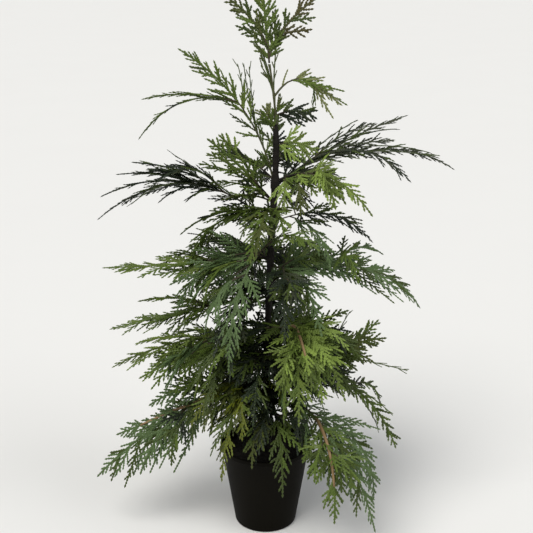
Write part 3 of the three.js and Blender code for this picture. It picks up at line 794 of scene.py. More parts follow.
    def grow_side_twig(self, line, frond, place, seed, own, part, finish):
        """One of the model's own twigs, or a finer one between them, drawn by its part of the gap."""
        share, q, hand, reach_share = place
        draw = 0 if own else part
        parent = line.frames(share)
        jitter = chance(seed, 1, draw) - 0.5
        angle = math.radians(lerp(TWIG_ROOT_ANGLE, TWIG_TIP_ANGLE, q) + TWIG_ANGLE_SPREAD * jitter)
        low = 1 if parent[2][2] * hand < 0 else -1
        taper = 1 - TWIG_TAPER_DROP * max(q, 0) ** TWIG_TAPER_POWER
        varied = TWIG_LENGTH_LEAST + TWIG_LENGTH_SPREAD * chance(seed, 2, draw)
        length = max(frond.fan * taper * varied * (1 + frond.hang * low), TWIG_SHORTEST) * reach_share
        lift = around(TWIG_LIFT, seed, 3, 0)
        if not own:
            length *= between(FINE_TWIG_LENGTHS, seed, 4, part)
            parent = rolled(parent, around(FINE_TWIG_ROLL, seed, 3, part))
        if self.slender:
            habit = SLENDER_TWIG if own else SLENDER_FINE_TWIG
            angle *= habit.angle
            length *= habit.length
        shoot = Shoot(parent, hand, angle, length, TWIG_SWEEP, TWIG_SAG, lift)
        self.grow_twig(shoot, finish, seed + part)

    def grow_short_twig(self, line, share, hand, seed, finish):
        """A short twig with nothing but scale leaves."""
        length = between(SHORT_TWIG, seed, 5)
        angle = math.radians(SHORT_TWIG_ANGLE + around(SHORT_TWIG_ANGLE_SPREAD, seed, 6))
        lift = around(SHORT_TWIG_LIFT, seed, 7)
        shoot = Shoot(line.frames(share), hand, angle, length, *SHORT_TWIG_BEND, lift)
        self.clothe(shoot, 0.0, 1.0, SHORT_TWIG_COVER, finish)

    def grow_sprigs(self, line, end, tint, seed):
        """Small twigs all round a bare bough, from a little way out to its end."""
        mix = mixed_finishes(tint)
        count = int(end * line.length / SPRIG_SPACING)
        for k in range(count):
            share = end * (SPRIG_START + (1 - SPRIG_START) * (k + 0.5) / count)
            parent = rolled(line.frames(share), 2 * math.pi * chance(seed, k, 21))
            hand = 1 if k % 2 else -1
            length = between(SPRIG, seed, k, 22)
            angle = math.radians(between(SPRIG_ANGLES, seed, k, 23))
            shoot = Shoot(parent, hand, angle, length, *SPRIG_BEND, 0)
            self.grow_twig(shoot, dealt(mix, seed, k, 24), seed + k)

    def grow_stem(self, line, start, finish, tan):
        """The frond's own stem: bare and brown at its root, or tan for longer, and scaly further out."""
        bare_end = start + (tan or BARE_STEM) * (1 - start)
        root = TWIG_TAN if tan else TWIG_BROWN
        for low, high, colour in ((start, bare_end, root), (bare_end, STEM_END, TWIG_GREEN)):
            rings = max(STEM_FEWEST_RINGS, int(line.length * (high - low) / STEM_STEP))
            shares = np.linspace(low, high, rings)
            radii = lerp(*STEM_RADII, (shares - start) / (1 - start))
            points, ahead, side, off = line.frames(shares)
            if colour == TWIG_TAN:
                radii = radii * TAN_STOUTNESS
                towards = np.sign(off @ TAN_FACING)[:, None]
                bulge = np.sin(np.pi * (shares - low) / (high - low))[:, None]
                points = points + off * towards * TAN_LIFT * bulge
            elif self.slender:
                radii = radii * SLENDER_STEM
            self.twigs.add(*tube_mesh((points, ahead, side, off), radii, STEM_SIDES), colour)
        scaly = bare_end - LEAF_OVERLAP * (1 - start)
        self.clothe(line, scaly, 1.0, STEM_COVER, finish, skip_start=True)


# Sprays that fill the crown round the trunk, and how far from it their tips may reach by height
CORE_HEIGHTS = (125.0, 250.0, 350.0, 420.0, 480.0, 560.0)
CORE_REACHES = (150.0, 152.0, 144.0, 120.0, 86.0, 50.0)
CORE_SPRAYS = 4
INNER_SPRAYS = 3
CORE_THINS = 420.0
OUTER_REACH = (0.7, 1.0)
INNER_REACH = (0.3, 0.62)
CORE_FORKS = (8.0, 42.0)
CORE_TURNS = (12.0, 85.0)
CORE_RISES = (-80.0, 25.0)
CORE_ARCH = 0.2
CORE_FAN = (0.42, 0.58)
CORE_ROLL = 80.0
CORE_TINTS = ("olive", "leaf", "moss", "blue", "olive", "leaf", "blue", "olive")
# Those whose tips stay this close to the trunk take the darkest tints: painted shade, for the shade deep in
# the crown.
PAINTED_SHADE_WITHIN = 70.0
DEEP_PAINTED_SHADE_WITHIN = 92.0
# Above this height no filling or companion spray crosses in front of the trunk.
OPEN_FRONT = 285.0
OPEN_HALF_WIDTH = 60.0


def hides_trunk(tip, half_width):
    return tip[2] > OPEN_FRONT and tip[1] < 0 and abs(tip[0]) < half_width


def core_fronds(branch, number, line):
    """Numbered fronds that leave a branch close to the trunk and spread to both sides of its heading."""
    if not CORE_HEIGHTS[0] < branch.foot < CORE_HEIGHTS[-1]:
        return []
    heading = math.atan2(line.chord[1], line.chord[0])
    found = []
    thin = branch.foot > CORE_THINS
    outer = CORE_SPRAYS // 2 if thin else CORE_SPRAYS
    for k in range(outer if thin else outer + INNER_SPRAYS):
        fork = between(CORE_FORKS, number, k, 10) / line.length
        turn = heading + (1 if k % 2 else -1) * math.radians(between(CORE_TURNS, number, k, 11))
        height = branch.foot + between(CORE_RISES, number, k, 12)
        share = between(OUTER_REACH if k < outer else INNER_REACH, number, k, 13)
        reach = np.interp(height, CORE_HEIGHTS, CORE_REACHES) * share
        tip = (reach * math.cos(turn), reach * math.sin(turn), height)
        if hides_trunk(tip, OPEN_HALF_WIDTH):
            continue
        # Painted shade: the closer to the trunk a filling spray ends, the darker its tint.
        if reach < PAINTED_SHADE_WITHIN:
            tint = "shade"
        elif reach < DEEP_PAINTED_SHADE_WITHIN:
            tint = "deep"
        else:
            tint = dealt(CORE_TINTS, number, k, 14)
        length = float(np.linalg.norm(line.at(fork) - tip))
        fan = length * between(CORE_FAN, number, k, 16)
        roll = CORE_ROLL * chance(number, k, 15)
        found.append((k, Frond(tip, CORE_ARCH * length, fan, roll, tint, fork=fork)))
    return found


# Fronds that run beside each long main one, so that it isn't a single flat blade
SLIM_BRANCHES = ("leader", "crest_right", "high_left", "upper_left", "shoulder_right", "low_right")
COMPANION_SHORTEST = 90.0
COMPANION_LEAST_FAN = 50.0
COMPANION_FORKS = (0.26, 0.44)
COMPANION_ENDS = (0.62, 0.8)
COMPANION_HALF_WIDTH = 34.0
COMPANION_ARCH = 0.5
COMPANION_FAN = 0.66
COMPANION_ROLL = 50.0
COMPANION_LIFT = 0.5
# How far to the side their tips lie, for each 200 mm of the main one
COMPANION_SPREAD = (20.0, 40.0)
COMPANION_SPREAD_LENGTH = 200.0


def companion_fronds(branch, number, lines):
    """Each with a number, a line to leave, and a shorter frond that runs beside the rest of it."""
    if branch.name in SLIM_BRANCHES:
        return []
    found = []
    for index, (frond, line) in enumerate(zip(branch.fronds, lines)):
        if line.length < COMPANION_SHORTEST or frond.fan < COMPANION_LEAST_FAN:
            continue
        for k, hand in enumerate((1, -1)):
            fork = between(COMPANION_FORKS, number, index, 31 + k)
            point, _, side, off = line.frames(between(COMPANION_ENDS, number, index, 33 + k))
            spread = between(COMPANION_SPREAD, number, index, 35 + k) * line.length / COMPANION_SPREAD_LENGTH
            lift = around(COMPANION_LIFT * spread, number, index, 37 + k)
            tip = point + side * (hand * spread) + off * lift
            if hides_trunk(tip, COMPANION_HALF_WIDTH):
                continue
            roll = frond.roll + around(COMPANION_ROLL, number, index, 39 + k)
            arch, fan = frond.arch * COMPANION_ARCH, frond.fan * COMPANION_FAN
            beside = Frond(tuple(tip), arch, fan, roll, frond.tint, fork=fork)
            found.append((2 * index + k, line, beside))
    return found


# The leader's lowest strands, which rise close to the thin top of the trunk
LEADER_FOOT = 622.0
LEADER_STRANDS = tuple(
    Frond(tip, 2, 0, 85, "moss") for tip in ((-14, -6, 696), (16, 4, 700), (-5, -3, 660), (-7, 3, 684))
)

# Sprays left out, where the crown is open: which of a branch's filling and companion ones
LEFT_OUT = {
    "upper_left": ("core 0",),
    "shoulder_left": ("core 1",),
    "breast_left": ("core 0",),
    "mid_left": ("core 0", "core 4"),
    "low_left": ("core 2", "side 0"),
    "skirt_left": ("side 1", "side 2", "side 4", "side 5", "core 3"),
    "skirt_right": ("core 3", "core 5", "side 0"),
    "waist_right": ("core 2", "core 6"),
    "front_low": ("core 3",),
    "back_left": ("core 3", "side 0"),
    "front_high": ("core 1",),
    "front_mid": ("core 0", "core 1", "side 0"),
    "front_skirt": ("core 2", "core 3"),
    "front_skirt_left": ("core 1",),
    "upper_right_front": ("core 0", "side 0"),
    "mid_right": ("core 2", "core 3"),
    "back_mid": ("core 2",),
    "back_right": ("core 0",),
    "back_low_right": ("core 6",),
    "back_high": ("core 0", "core 1"),
    "collar_back": ("core 1",),
}

# Filling and companion sprays whose tint isn't the one dealt to them. The blue ones have their own colour.
# The rest are painted light and shade: the darkest tints paint shade in the crown's recesses and in the dark
# hollow above the pot, and the fresh and bright ones paint light onto sprays that the fronds above them
# shade.
RETINTED_WITH_PAINTED_LIGHT_AND_SHADE = {
    "mid_left": {"core 1": "blue", "core 5": "blue"},
    "waist_left": {"core 1": "deep", "core 3": "deep"},
    "low_left": {"core 0": "fresh", "core 1": "fresh"},
    "skirt_left": {"core 1": "shade"},
    "skirt_right": {"core 0": "shade", "core 4": "shade", "core 6": "shade"},
    "front_right": {"side 0": "bright", "side 1": "bright"},
    "front_low": {"side 0": "shade"},
    "front_skirt": {"side 0": "deep", "side 1": "deep", "core 4": "shade"},
    "front_skirt_left": {"core 3": "shade"},
}

# More fronds on a branch's first one. Those with no fan are strands.
EXTRAS = {
    "leader": (Frond((22, 6, 705), 3, 22, 85, "moss", fork=0.05),),
    "high_left": (
        Frond((-28, 12, 661), -3, 0, 0, "olive", fork=0.32),
        Frond((-21, 10, 657), -2, 0, 0, "olive", fork=0.34),
    ),
    "shoulder_left": (
        Frond((-216, -15, 492), 16, 30, 10, "deep", fork=0.34),
        Frond((-176, -25, 484), 14, 0, 0, "deep", fork=0.4),
        Frond((-139, -30, 488), 10, 26, 20, "deep", fork=0.36),
        Frond((-103, -30, 489), 8, 24, 20, "deep", fork=0.3),
        Frond((-177, 15, 531), 10, 26, 10, "deep", fork=0.26),
        Frond((-124, 20, 541), 2, 0, 0, "deep", fork=0.22),
    ),
    "shoulder_right": (
        Frond((122, 30, 585), 6, 0, 0, "dusk", fork=0.1),
        Frond((146, 35, 580), 8, 24, 20, "dusk", fork=0.3),
        Frond((174, 20, 575), 5, 0, 0, "dusk", fork=0.5),
        Frond((169, 10, 562), 6, 22, 30, "dusk", fork=0.3),
        Frond((218, 5, 546), 14, 0, 0, "dusk", fork=0.3),
        Frond((226, -5, 542), 12, 0, 0, "dusk", fork=0.26),
        Frond((191, -10, 511), 26, 26, 30, "deep", fork=0.3),
        Frond((96, -10, 518), 8, 20, 20, "dusk", fork=0.1),
    ),
    "upper_left": (
        Frond((-58, -40, 577), 4, 20, 60, "fresh", fork=0.3),
        Frond((-73, -45, 555), 6, 24, 50, "fresh", fork=0.08),
        Frond((-84, -40, 541), 8, 28, 40, "leaf", fork=0.12),
        Frond((-68, -50, 519), 8, 30, 40, "olive", fork=0.06),
        Frond((-56, -45, 494), 8, 26, 30, "moss", fork=0.02),
    ),
    "collar_right": (Frond((22, -5, 612), 2, 14, 60, "moss"),),
    "collar_left": (Frond((-3, -14, 610), 2, 16, 60, "pale"),),
    "upper_right_front": (
        Frond((89, -70, 490), 14, 38, 35, "fresh", fork=0.3),
        Frond((24, -50, 480), 10, 34, 30, "fresh", fork=0.1),
        Frond((45, -55, 477), 12, 34, 40, "moss", fork=0.2),
        Frond((61, -20, 518), 6, 40, 50, "deep", fork=0.06),
        Frond((102, -60, 494), 16, 36, 35, "fresh", fork=0.16),
    ),
    "low_right": (
        Frond((183, 10, 161), 4, 0, 30, "leaf", fork=0.5),
        Frond((164, 20, 136), 4, 0, 30, "olive", fork=0.5),
    ),
    "front_skirt": (Frond((-18, -118, 146), 30, 44, -10, "moss", fork=0.2),),
    "front_skirt_left": (
        Frond((-99, -90, 195), 22, 46, -10, "golden", fork=0.2),
        Frond((-84, -100, 190), 20, 36, -10, "moss", fork=0.3),
    ),
    "front_left": (
        Frond((-79, -85, 327), 16, 48, 5, "blue", fork=0.3),
        Frond((-98, -75, 365), 12, 44, 10, "blue", fork=0.24),
        Frond((-118, -60, 368), 12, 40, 10, "blue", fork=0.2),
    ),
    # The second of these is tinted bright, lighter than its own, as painted light where the fronds above
    # shade it.
    "front_right": (
        Frond((55, -140, 291), 20, 34, 20, "bright", fork=0.24),
        Frond((74, -112, 239), 14, 50, 10, "bright", fork=0.4),
        Frond((84, -130, 296), 22, 42, 20, "bright", fork=0.12),
    ),
    "front_high": (
        Frond((-32, -90, 454), 16, 40, 15, "olive", fork=0.1),
        Frond((-19, -105, 429), 18, 40, 5, "leaf", fork=0.2),
        Frond((24, -80, 456), 14, 36, 15, "leaf", fork=0.1),
        Frond((-51, -60, 466), 10, 30, 20, "olive", fork=0.05),
    ),
    "skirt_left": (
        Frond((-161, -30, 196), 14, 50, -50, "blue", fork=0.22),
        Frond((-132, -35, 218), 10, 44, -50, "leaf", fork=0.1),
    ),
    "waist_right": (
        Frond((117, 0, 323), 4, 0, 0, "olive", fork=0.46),
        Frond((167, 0, 284), 4, 40, 50, "moss", fork=0.42),
        Frond((139, -20, 274), 4, 44, 40, "moss", fork=0.4),
        Frond((148, -20, 258), 8, 40, 40, "moss", fork=0.4),
    ),
}


# Where the numbers of the companion, extra and foot fronds start, for their seeds
SIDE_NUMBERS = 10
EXTRA_NUMBERS = 30
FOOT_NUMBERS = 40
# How far apart the seeds of the branches and of their fronds are, and where the others start
BRANCH_SEED_STEP = 100
FROND_SEED_STEP = 1000
FURTHER_SEEDS = 7000
SPRIG_SEEDS = 9000


def further_fronds(branch, number, lines):
    """Each further frond of a branch, with its key, the line that it leaves and its seed's place."""
    first = lines[0]
    fills = [(f"core {k}", first, frond, k) for k, frond in core_fronds(branch, number, first)]
    for k, line, frond in companion_fronds(branch, number, lines):
        fills.append((f"side {k}", line, frond, SIDE_NUMBERS + k))
    left_out = LEFT_OUT.get(branch.name, ())
    tints = RETINTED_WITH_PAINTED_LIGHT_AND_SHADE.get(branch.name, {})
    found = [
        (key, line, frond._replace(tint=tints.get(key, frond.tint)), place)
        for key, line, frond, place in fills if key not in left_out
    ]
    for k, frond in enumerate(EXTRAS.get(branch.name, ())):
        found.append((f"extra {k}", first, frond, EXTRA_NUMBERS + k))
    if branch.name == "leader":
        found += [(f"foot {k}", None, frond, FOOT_NUMBERS + k) for k, frond in enumerate(LEADER_STRANDS)]
    return found


def lines_of(branch):
    """The lines of a branch: the first frond's starts in the trunk, and the others' on the first."""
    root = trunk_at(branch.foot)
    first = Line(root, branch.fronds[0])
    return [first] + [Line(first.at(frond.fork), frond) for frond in branch.fronds[1:]]


# Finishes
class Surface(NamedTuple):
    """How a finish varies round its colour.

    shades are the shares of the colour in its two kinds of patch, and depth is its relief in
    millimetres. The higher patch and grain are, the finer they are.
    """
    shades: tuple
    patch: float
    sharpness: float
    grain: float
    roughness: tuple
    bump: float
    depth: float
    specular: float = 0.5


LEAF_SURFACE = Surface((0.72, 1.2), 55, 1.6, 900, (0.42, 0.66), bump=0.25, depth=0.3, specular=0.3)
# The painted-shade sprays also reflect less, so that they stay dark.
PAINTED_SHADE_SURFACE = LEAF_SURFACE._replace(specular=0.1)
BROWN_TWIG_SURFACE = Surface((0.6, 1), 120, 2, 1200, (0.5, 0.8), bump=0.4, depth=0.3)
GREEN_TWIG_SURFACE = BROWN_TWIG_SURFACE._replace(shades=(0.7, 1.2))
TAN_TWIG_SURFACE = BROWN_TWIG_SURFACE._replace(shades=(0.75, 1))
TAPE_SURFACE = Surface((0.45, 1.35), 160, 1.8, 1500, (0.7, 0.95), bump=0.6, depth=0.4, specular=0.3)
STEM_SURFACE = Surface((0.6, 1.1), 150, 2, 1300, (0.55, 0.8), bump=0.4, depth=0.3)
PLASTIC_SURFACE = Surface((0.85, 1.25), 24, 1.2, 1400, (0.5, 0.62), bump=0.08, depth=0.2, specular=0.05)
CRUMBS_SURFACE = Surface((0.5, 1.9), 260, 3, 900, (0.85, 1.0), bump=1.0, depth=1.2, specular=0.2)
FLOOR_SURFACE = Surface((0.98, 1), 3, 1, 60, (0.7, 0.8), bump=0.02, depth=0.2, specular=0.2)
PATCH_DETAIL = 3
GRAIN_DETAIL = 5


def add_node(tree, kind, **values):
    node = tree.nodes.new(kind)
    for name, value in values.items():
        setattr(node, name, value)
    return node


def join(tree, *links):
    """Makes links, each told as a node, its output, another node and its input."""
    for start, output, end, entry in links:
        tree.links.new(start.outputs[output], end.inputs[entry])


def mottle_group():
    """An effect that all the finishes use: two colours in soft patches, and a fine grain for relief."""
    name = "Mottle"
    if name in bpy.data.node_groups:
        return bpy.data.node_groups[name]
    group = bpy.data.node_groups.new(name, "ShaderNodeTree")
    for socket, way, kind in (
        ("First Colour", "INPUT", "Color"), ("Second Colour", "INPUT", "Color"),
        ("Patch Scale", "INPUT", "Float"), ("Patch Sharpness", "INPUT", "Float"),
        ("Grain Scale", "INPUT", "Float"), ("Colour", "OUTPUT", "Color"), ("Grain", "OUTPUT", "Float"),
    ):
        group.interface.new_socket(name=socket, in_out=way, socket_type=f"NodeSocket{kind}")
    inputs = add_node(group, "NodeGroupInput")
    outputs = add_node(group, "NodeGroupOutput")
    place = add_node(group, "ShaderNodeTexCoord")
    patches = add_node(group, "ShaderNodeTexNoise")
    patches.inputs["Detail"].default_value = PATCH_DETAIL
    contrast = add_node(group, "ShaderNodeMapRange", clamp=True)
    half = add_node(group, "ShaderNodeMath", operation="DIVIDE")
    low = add_node(group, "ShaderNodeMath", operation="SUBTRACT")
    high = add_node(group, "ShaderNodeMath", operation="ADD")
    for node in (half, low, high):
        node.inputs[0].default_value = 0.5
    mix = add_node(group, "ShaderNodeMix", data_type="RGBA")
    grain = add_node(group, "ShaderNodeTexNoise")
    grain.inputs["Detail"].default_value = GRAIN_DETAIL
    join(
        group,
        (place, "Object", patches, "Vector"),
        (place, "Object", grain, "Vector"),
        (inputs, "Patch Scale", patches, "Scale"),
        (inputs, "Grain Scale", grain, "Scale"),
        (inputs, "Patch Sharpness", half, 1),
        (half, 0, low, 1),
        (half, 0, high, 1),
        (patches, "Fac", contrast, "Value"),
        (low, 0, contrast, "From Min"),
        (high, 0, contrast, "From Max"),
        (contrast, "Result", mix, "Factor"),
        (inputs, "First Colour", mix, "A"),
        (inputs, "Second Colour", mix, "B"),
        (mix, "Result", outputs, "Colour"),
        (grain, "Fac", outputs, "Grain"),
    )
    return group


def shaded(colour, share):
    """A share of a colour, with its alpha."""
    return (*(min(value * share, 1.0) for value in colour), 1)


def mottled_material(name, colour, surface):
    """A material with the mottle effect in its colour, its roughness and its relief."""
    material = bpy.data.materials.new(name)
    material.use_nodes = True
    tree = material.node_tree
    shader = tree.nodes["Principled BSDF"]
    shader.inputs["Specular IOR Level"].default_value = surface.specular
    effect = add_node(tree, "ShaderNodeGroup", node_tree=mottle_group())
    effect.inputs["First Colour"].default_value = shaded(colour, surface.shades[0])
    effect.inputs["Second Colour"].default_value = shaded(colour, surface.shades[1])
    effect.inputs["Patch Scale"].default_value = surface.patch
    effect.inputs["Patch Sharpness"].default_value = surface.sharpness
    effect.inputs["Grain Scale"].default_value = surface.grain
    spread = add_node(tree, "ShaderNodeMapRange")
    spread.inputs["To Min"].default_value, spread.inputs["To Max"].default_value = surface.roughness
    relief = add_node(tree, "ShaderNodeBump")
    relief.inputs["Strength"].default_value = surface.bump
    relief.inputs["Distance"].default_value = surface.depth * MM
    join(
        tree,
        (effect, "Colour", shader, "Base Color"),
        (effect, "Grain", spread, "Value"),
        (spread, "Result", shader, "Roughness"),
        (effect, "Grain", relief, "Height"),
        (relief, "Normal", shader, "Normal"),
    )
    return material


def leaf_material(settings, tint):
    surface = PAINTED_SHADE_SURFACE if tint == "shade" else LEAF_SURFACE
    return mottled_material(f"cedar_{tint}", getattr(settings, tint), surface)


def twig_materials(settings):
    """The stems' finishes, in the order of their numbers."""
    return [
        mottled_material("twig_brown", settings.twig, BROWN_TWIG_SURFACE),
        mottled_material("twig_green", settings.olive, GREEN_TWIG_SURFACE),
        mottled_material("twig_tan", settings.tan, TAN_TWIG_SURFACE),
    ]


# The trunk and the boughs, wound with tape. A turn of it rises over an edge, and falls to the next one.
TAPE_EDGE = 0.12
TAPE_FALL = 0.75
# Wrinkles in the tape: how high they are, and how close together round the stem and along it
TAPE_WRINKLES = ((0.18, 3, 0.9), (0.12, 7, -1.7))
TRUNK_SIDES = 26
TRUNK_STEP = 1.5
TRUNK_SINK = 1.0
TRUNK_INSET = 0.3
TRUNK_THIN_INSET = 0.35
TRUNK_TAPE_ENDS = TRUNK_NARROWS[1] - 25.0
# The swelling where a branch leaves the trunk, on its own side and less all round
SWELL = 1.1
SWELL_HEIGHT = 8.0
SWELL_ABOVE_FOOT = 2.0
SWELL_ALL_ROUND = 0.35
SWELL_FACING_AT = 0.03
BOUGH_SIDES = 12
BOUGH_STEP = 1.2
BOUGH_FEWEST_RINGS = 8
BOUGH_ROOT = 0.6
BOUGH_RADII = (1.85, 1.35)
BOUGH_THICKNESS = 0.9
BOUGH_THICKNESS_SLENDER = 0.72
BOUGH_TAPE_PITCH = 5.0
BOUGH_TAPE_RELIEF = 0.5
# Boughs with the skin of the thin stem
GREEN_BOUGHS = ("crest_right", "high_left")


def tape_profile(turn, along, pitch, relief):
    """How far wound tape stands out at a turn and a place along: each turn overlaps the last one."""
    phase = (along / pitch - turn / (2 * math.pi)) % 1
    edge = np.minimum(phase / TAPE_EDGE, 1) * (1 - TAPE_FALL * phase)
    wrinkle = sum(rise * np.sin(close * turn + near * along) for rise, close, near in TAPE_WRINKLES)
    return relief * (edge + wrinkle)


def trunk_piece(settings, materials):
    """The trunk from inside the filling to its tip, bare of tape near the top."""
    heights = np.arange(FILL_LEVEL - TRUNK_SINK, TRUNK_TOP, TRUNK_STEP)
    turns = np.arange(TRUNK_SIDES) * (2 * math.pi / TRUNK_SIDES)
    turn_grid, height_grid = np.meshgrid(turns, heights)
    tape = tape_profile(turn_grid, height_grid, settings.tape_pitch / MM, settings.tape_relief / MM)
    thinning = smoothstep(height_grid, *TRUNK_NARROWS)
    radii = trunk_radius(height_grid) - TRUNK_INSET - TRUNK_THIN_INSET * thinning
    radii = radii + tape * (1 - thinning)
    for branch in BRANCHES:
        line = lines_of(branch)[0]
        ahead = line.at(SWELL_FACING_AT) - line.at(0)
        facing = math.atan2(ahead[1], ahead[0])
        above = height_grid - branch.foot - SWELL_ABOVE_FOOT
        swell = SWELL * np.exp(-(above / SWELL_HEIGHT) ** 2)
        beside = np.clip(np.cos(turn_grid - facing), 0, 1)
        radii = radii + swell * (SWELL_ALL_ROUND + (1 - SWELL_ALL_ROUND) * beside)
    side = np.repeat([(1.0, 0.0, 0.0)], len(heights), axis=0)
    off = np.repeat([(0.0, 1.0, 0.0)], len(heights), axis=0)
    vertices, triangles = tube_mesh((trunk_at(heights), None, side, off), radii, TRUNK_SIDES)
    thin = vertices[triangles].mean(axis=1)[:, 2] > TRUNK_TAPE_ENDS
    pile = Pile()
    pile.add(vertices, triangles[~thin], 0)
    pile.add_triangles(triangles[thin], 1)
    return pile.build("trunk_wound", materials, smooth=True)


def bough_piece(branch, settings, materials):
    """One bare bough, wound with tape, from inside the trunk's skin to where its foliage starts."""
    line = lines_of(branch)[0]
    start = BOUGH_ROOT * trunk_radius(branch.foot) / line.length
    rings = max(BOUGH_FEWEST_RINGS, int(line.length * (branch.bare - start) / BOUGH_STEP))
    shares = np.linspace(start, branch.bare, rings)
    turns = np.arange(BOUGH_SIDES) * (2 * math.pi / BOUGH_SIDES)
    turn_grid, along_grid = np.meshgrid(turns, shares * line.length)
    thickness = BOUGH_THICKNESS_SLENDER if branch.name in SLENDER else BOUGH_THICKNESS
    radii = thickness * lerp(*BOUGH_RADII, (along_grid - along_grid.min()) / np.ptp(along_grid))
    relief = settings.tape_relief / MM * BOUGH_TAPE_RELIEF
    radii = radii + tape_profile(turn_grid, along_grid, BOUGH_TAPE_PITCH, relief)
    pile = Pile()
    pile.add(*tube_mesh(line.frames(shares), radii, BOUGH_SIDES), 0)
    return pile.build(f"{branch.name}_limb", materials, smooth=True)


# The pot and its filling
POT_SIDES = 96
SHARP_EDGE = 38.0
# The groove under the lip, and the rounds of the lip's underside, top and inner edge
GROOVE_HEIGHT = 0.4
GROOVE_DEPTH = 0.1
LIP_UNDER_ROUND = 0.8
LIP_UNDER_RISE = 0.9
LIP_TOP_ROUND = 1.0
LIP_INNER_ROUND = 0.8
FILLING_RINGS = 26
FILLING_SIDES = 72
FILLING_SLACK = 0.2
FILLING_DROP = 1.2
FILLING_FOOT_INSET = 2.6
# Lumps of the filling: how high they are, and how close together
LUMPS = (1.6, 0.16)
CRUMBS = (0.9, 0.42)


def ring(radius, height, sides):
    """Points round the axis."""
    turns = [2 * math.pi * i / sides for i in range(sides)]
    return [(radius * math.cos(turn), radius * math.sin(turn), height) for turn in turns]


def lathe(name, profile, sides, materials):
    """A closed body of revolution from a profile that starts and ends on the axis."""
    rows = profile[1:-1]
    vertices = [(0, 0, profile[0][1])]
    for radius, height in rows:
        vertices += ring(radius, height, sides)
    vertices.append((0, 0, profile[-1][1]))
    last = 1 + (len(rows) - 1) * sides
    faces = []
    for i in range(sides):
        after = (i + 1) % sides
        faces.append((0, 1 + after, 1 + i))
        for low in range(1, last, sides):
            faces.append((low + i, low + after, low + sides + after, low + sides + i))
        faces.append((last + i, last + after, len(vertices) - 1))
    mesh = bpy.data.meshes.new(name)
    mesh.from_pydata([Vector(vertex) * MM for vertex in vertices], [], faces)
    mesh.shade_smooth()
    mesh.set_sharp_from_angle(angle=math.radians(SHARP_EDGE))
    return add_piece(name, mesh, materials)


def arc(centre, radius, start, end, steps):
    turns = [math.radians(lerp(start, end, i / steps)) for i in range(steps + 1)]
    return [(centre[0] + radius * math.cos(turn), centre[1] + radius * math.sin(turn)) for turn in turns]


def pot_profile(settings):
    """The pot's section: round foot, tapered wall, a lip with a rounded top, and the inside."""
    rim = settings.rim_radius / MM
    foot = settings.foot_radius / MM
    wall = settings.wall / MM
    slope = (rim - POT_LIP_DEPTH - foot) / POT_HEIGHT
    lip_foot = POT_HEIGHT - POT_LIP_HEIGHT

    def outside(height):
        return foot + slope * height

    edge = (outside(POT_EDGE_ROUND) - POT_EDGE_ROUND, POT_EDGE_ROUND)
    inner_edge = (outside(POT_HEIGHT) - wall + LIP_INNER_ROUND, POT_HEIGHT - LIP_INNER_ROUND)
    return [
        (0, 0),
        *arc(edge, POT_EDGE_ROUND, -90, 0, 8),
        (outside(lip_foot - GROOVE_HEIGHT), lip_foot - GROOVE_HEIGHT),
        (outside(lip_foot) + GROOVE_DEPTH, lip_foot),
        *arc((rim - LIP_UNDER_ROUND, lip_foot + LIP_UNDER_RISE), LIP_UNDER_ROUND, -60, 0, 4),
        *arc((rim - LIP_TOP_ROUND, POT_HEIGHT - LIP_TOP_ROUND), LIP_TOP_ROUND, 0, 90, 5),
        *arc(inner_edge, LIP_INNER_ROUND, 90, 180, 4),
        (outside(POT_FLOOR) - wall, POT_FLOOR),
        (0, POT_FLOOR),
    ]


def filling_height(x, y):
    """The height of the filling's lumpy top."""
    lumps, crumbs = (noise.noise(Vector((x, y, 0)) * close) for _, close in (LUMPS, CRUMBS))
    return FILL_LEVEL - FILLING_DROP + (LUMPS[0] * lumps + CRUMBS[0] * abs(crumbs))


def filling_piece(materials):
    """A lumpy dark disc that fills the pot round the foot of the trunk."""
    inside = FILL_HIGH.x / MM - FILLING_SLACK
    rings, sides = FILLING_RINGS, FILLING_SIDES
    vertices = [(0, 0, filling_height(0, 0))]
    for row in range(1, rings + 1):
        vertices += [(x, y, filling_height(x, y)) for x, y, _ in ring(inside * row / rings, 0, sides)]
    edge, under = len(vertices) - sides, len(vertices)
    vertices += ring(POT_FOOT_RADIUS - FILLING_FOOT_INSET, FILL_LOW.z / MM, sides)
    faces = []
    for i in range(sides):
        after = (i + 1) % sides
        for low in range(1, edge, sides):
            faces.append((low + i, low + sides + i, low + sides + after, low + after))
        faces.append((edge + i, under + i, under + after, edge + after))
        faces.append((0, 1 + i, 1 + after))
    faces.append(tuple(under + i for i in reversed(range(sides))))
    mesh = bpy.data.meshes.new("pot_filling")
    mesh.from_pydata([Vector(vertex) * MM for vertex in vertices], [], faces)
    mesh.shade_smooth()
    return add_piece("pot_filling", mesh, materials)


def finish_piece(piece, slot, *nodes):
    """Says what a piece rides on and which nodes it stands for. The slot is not used."""
    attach(piece, "root")
    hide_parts(*nodes)


# Operators
class CEDAR_OT_pot(Operator):
    """Build the black pot and its lumpy filling"""
    bl_idname = "cedar.pot"
    bl_label = "Pot and Filling"

    def execute(self, context):
        settings = context.scene.cedar_pot
        plastic = mottled_material("pot_plastic", settings.plastic, PLASTIC_SURFACE)
        pot = lathe("pot_shell", pot_profile(settings), POT_SIDES, [plastic])
        finish_piece(pot, "pot_plastic", "pot")
        crumbs = mottled_material("pot_filling", settings.filling, CRUMBS_SURFACE)
        finish_piece(filling_piece([crumbs]), "fill", "fill")
        return {"FINISHED"}


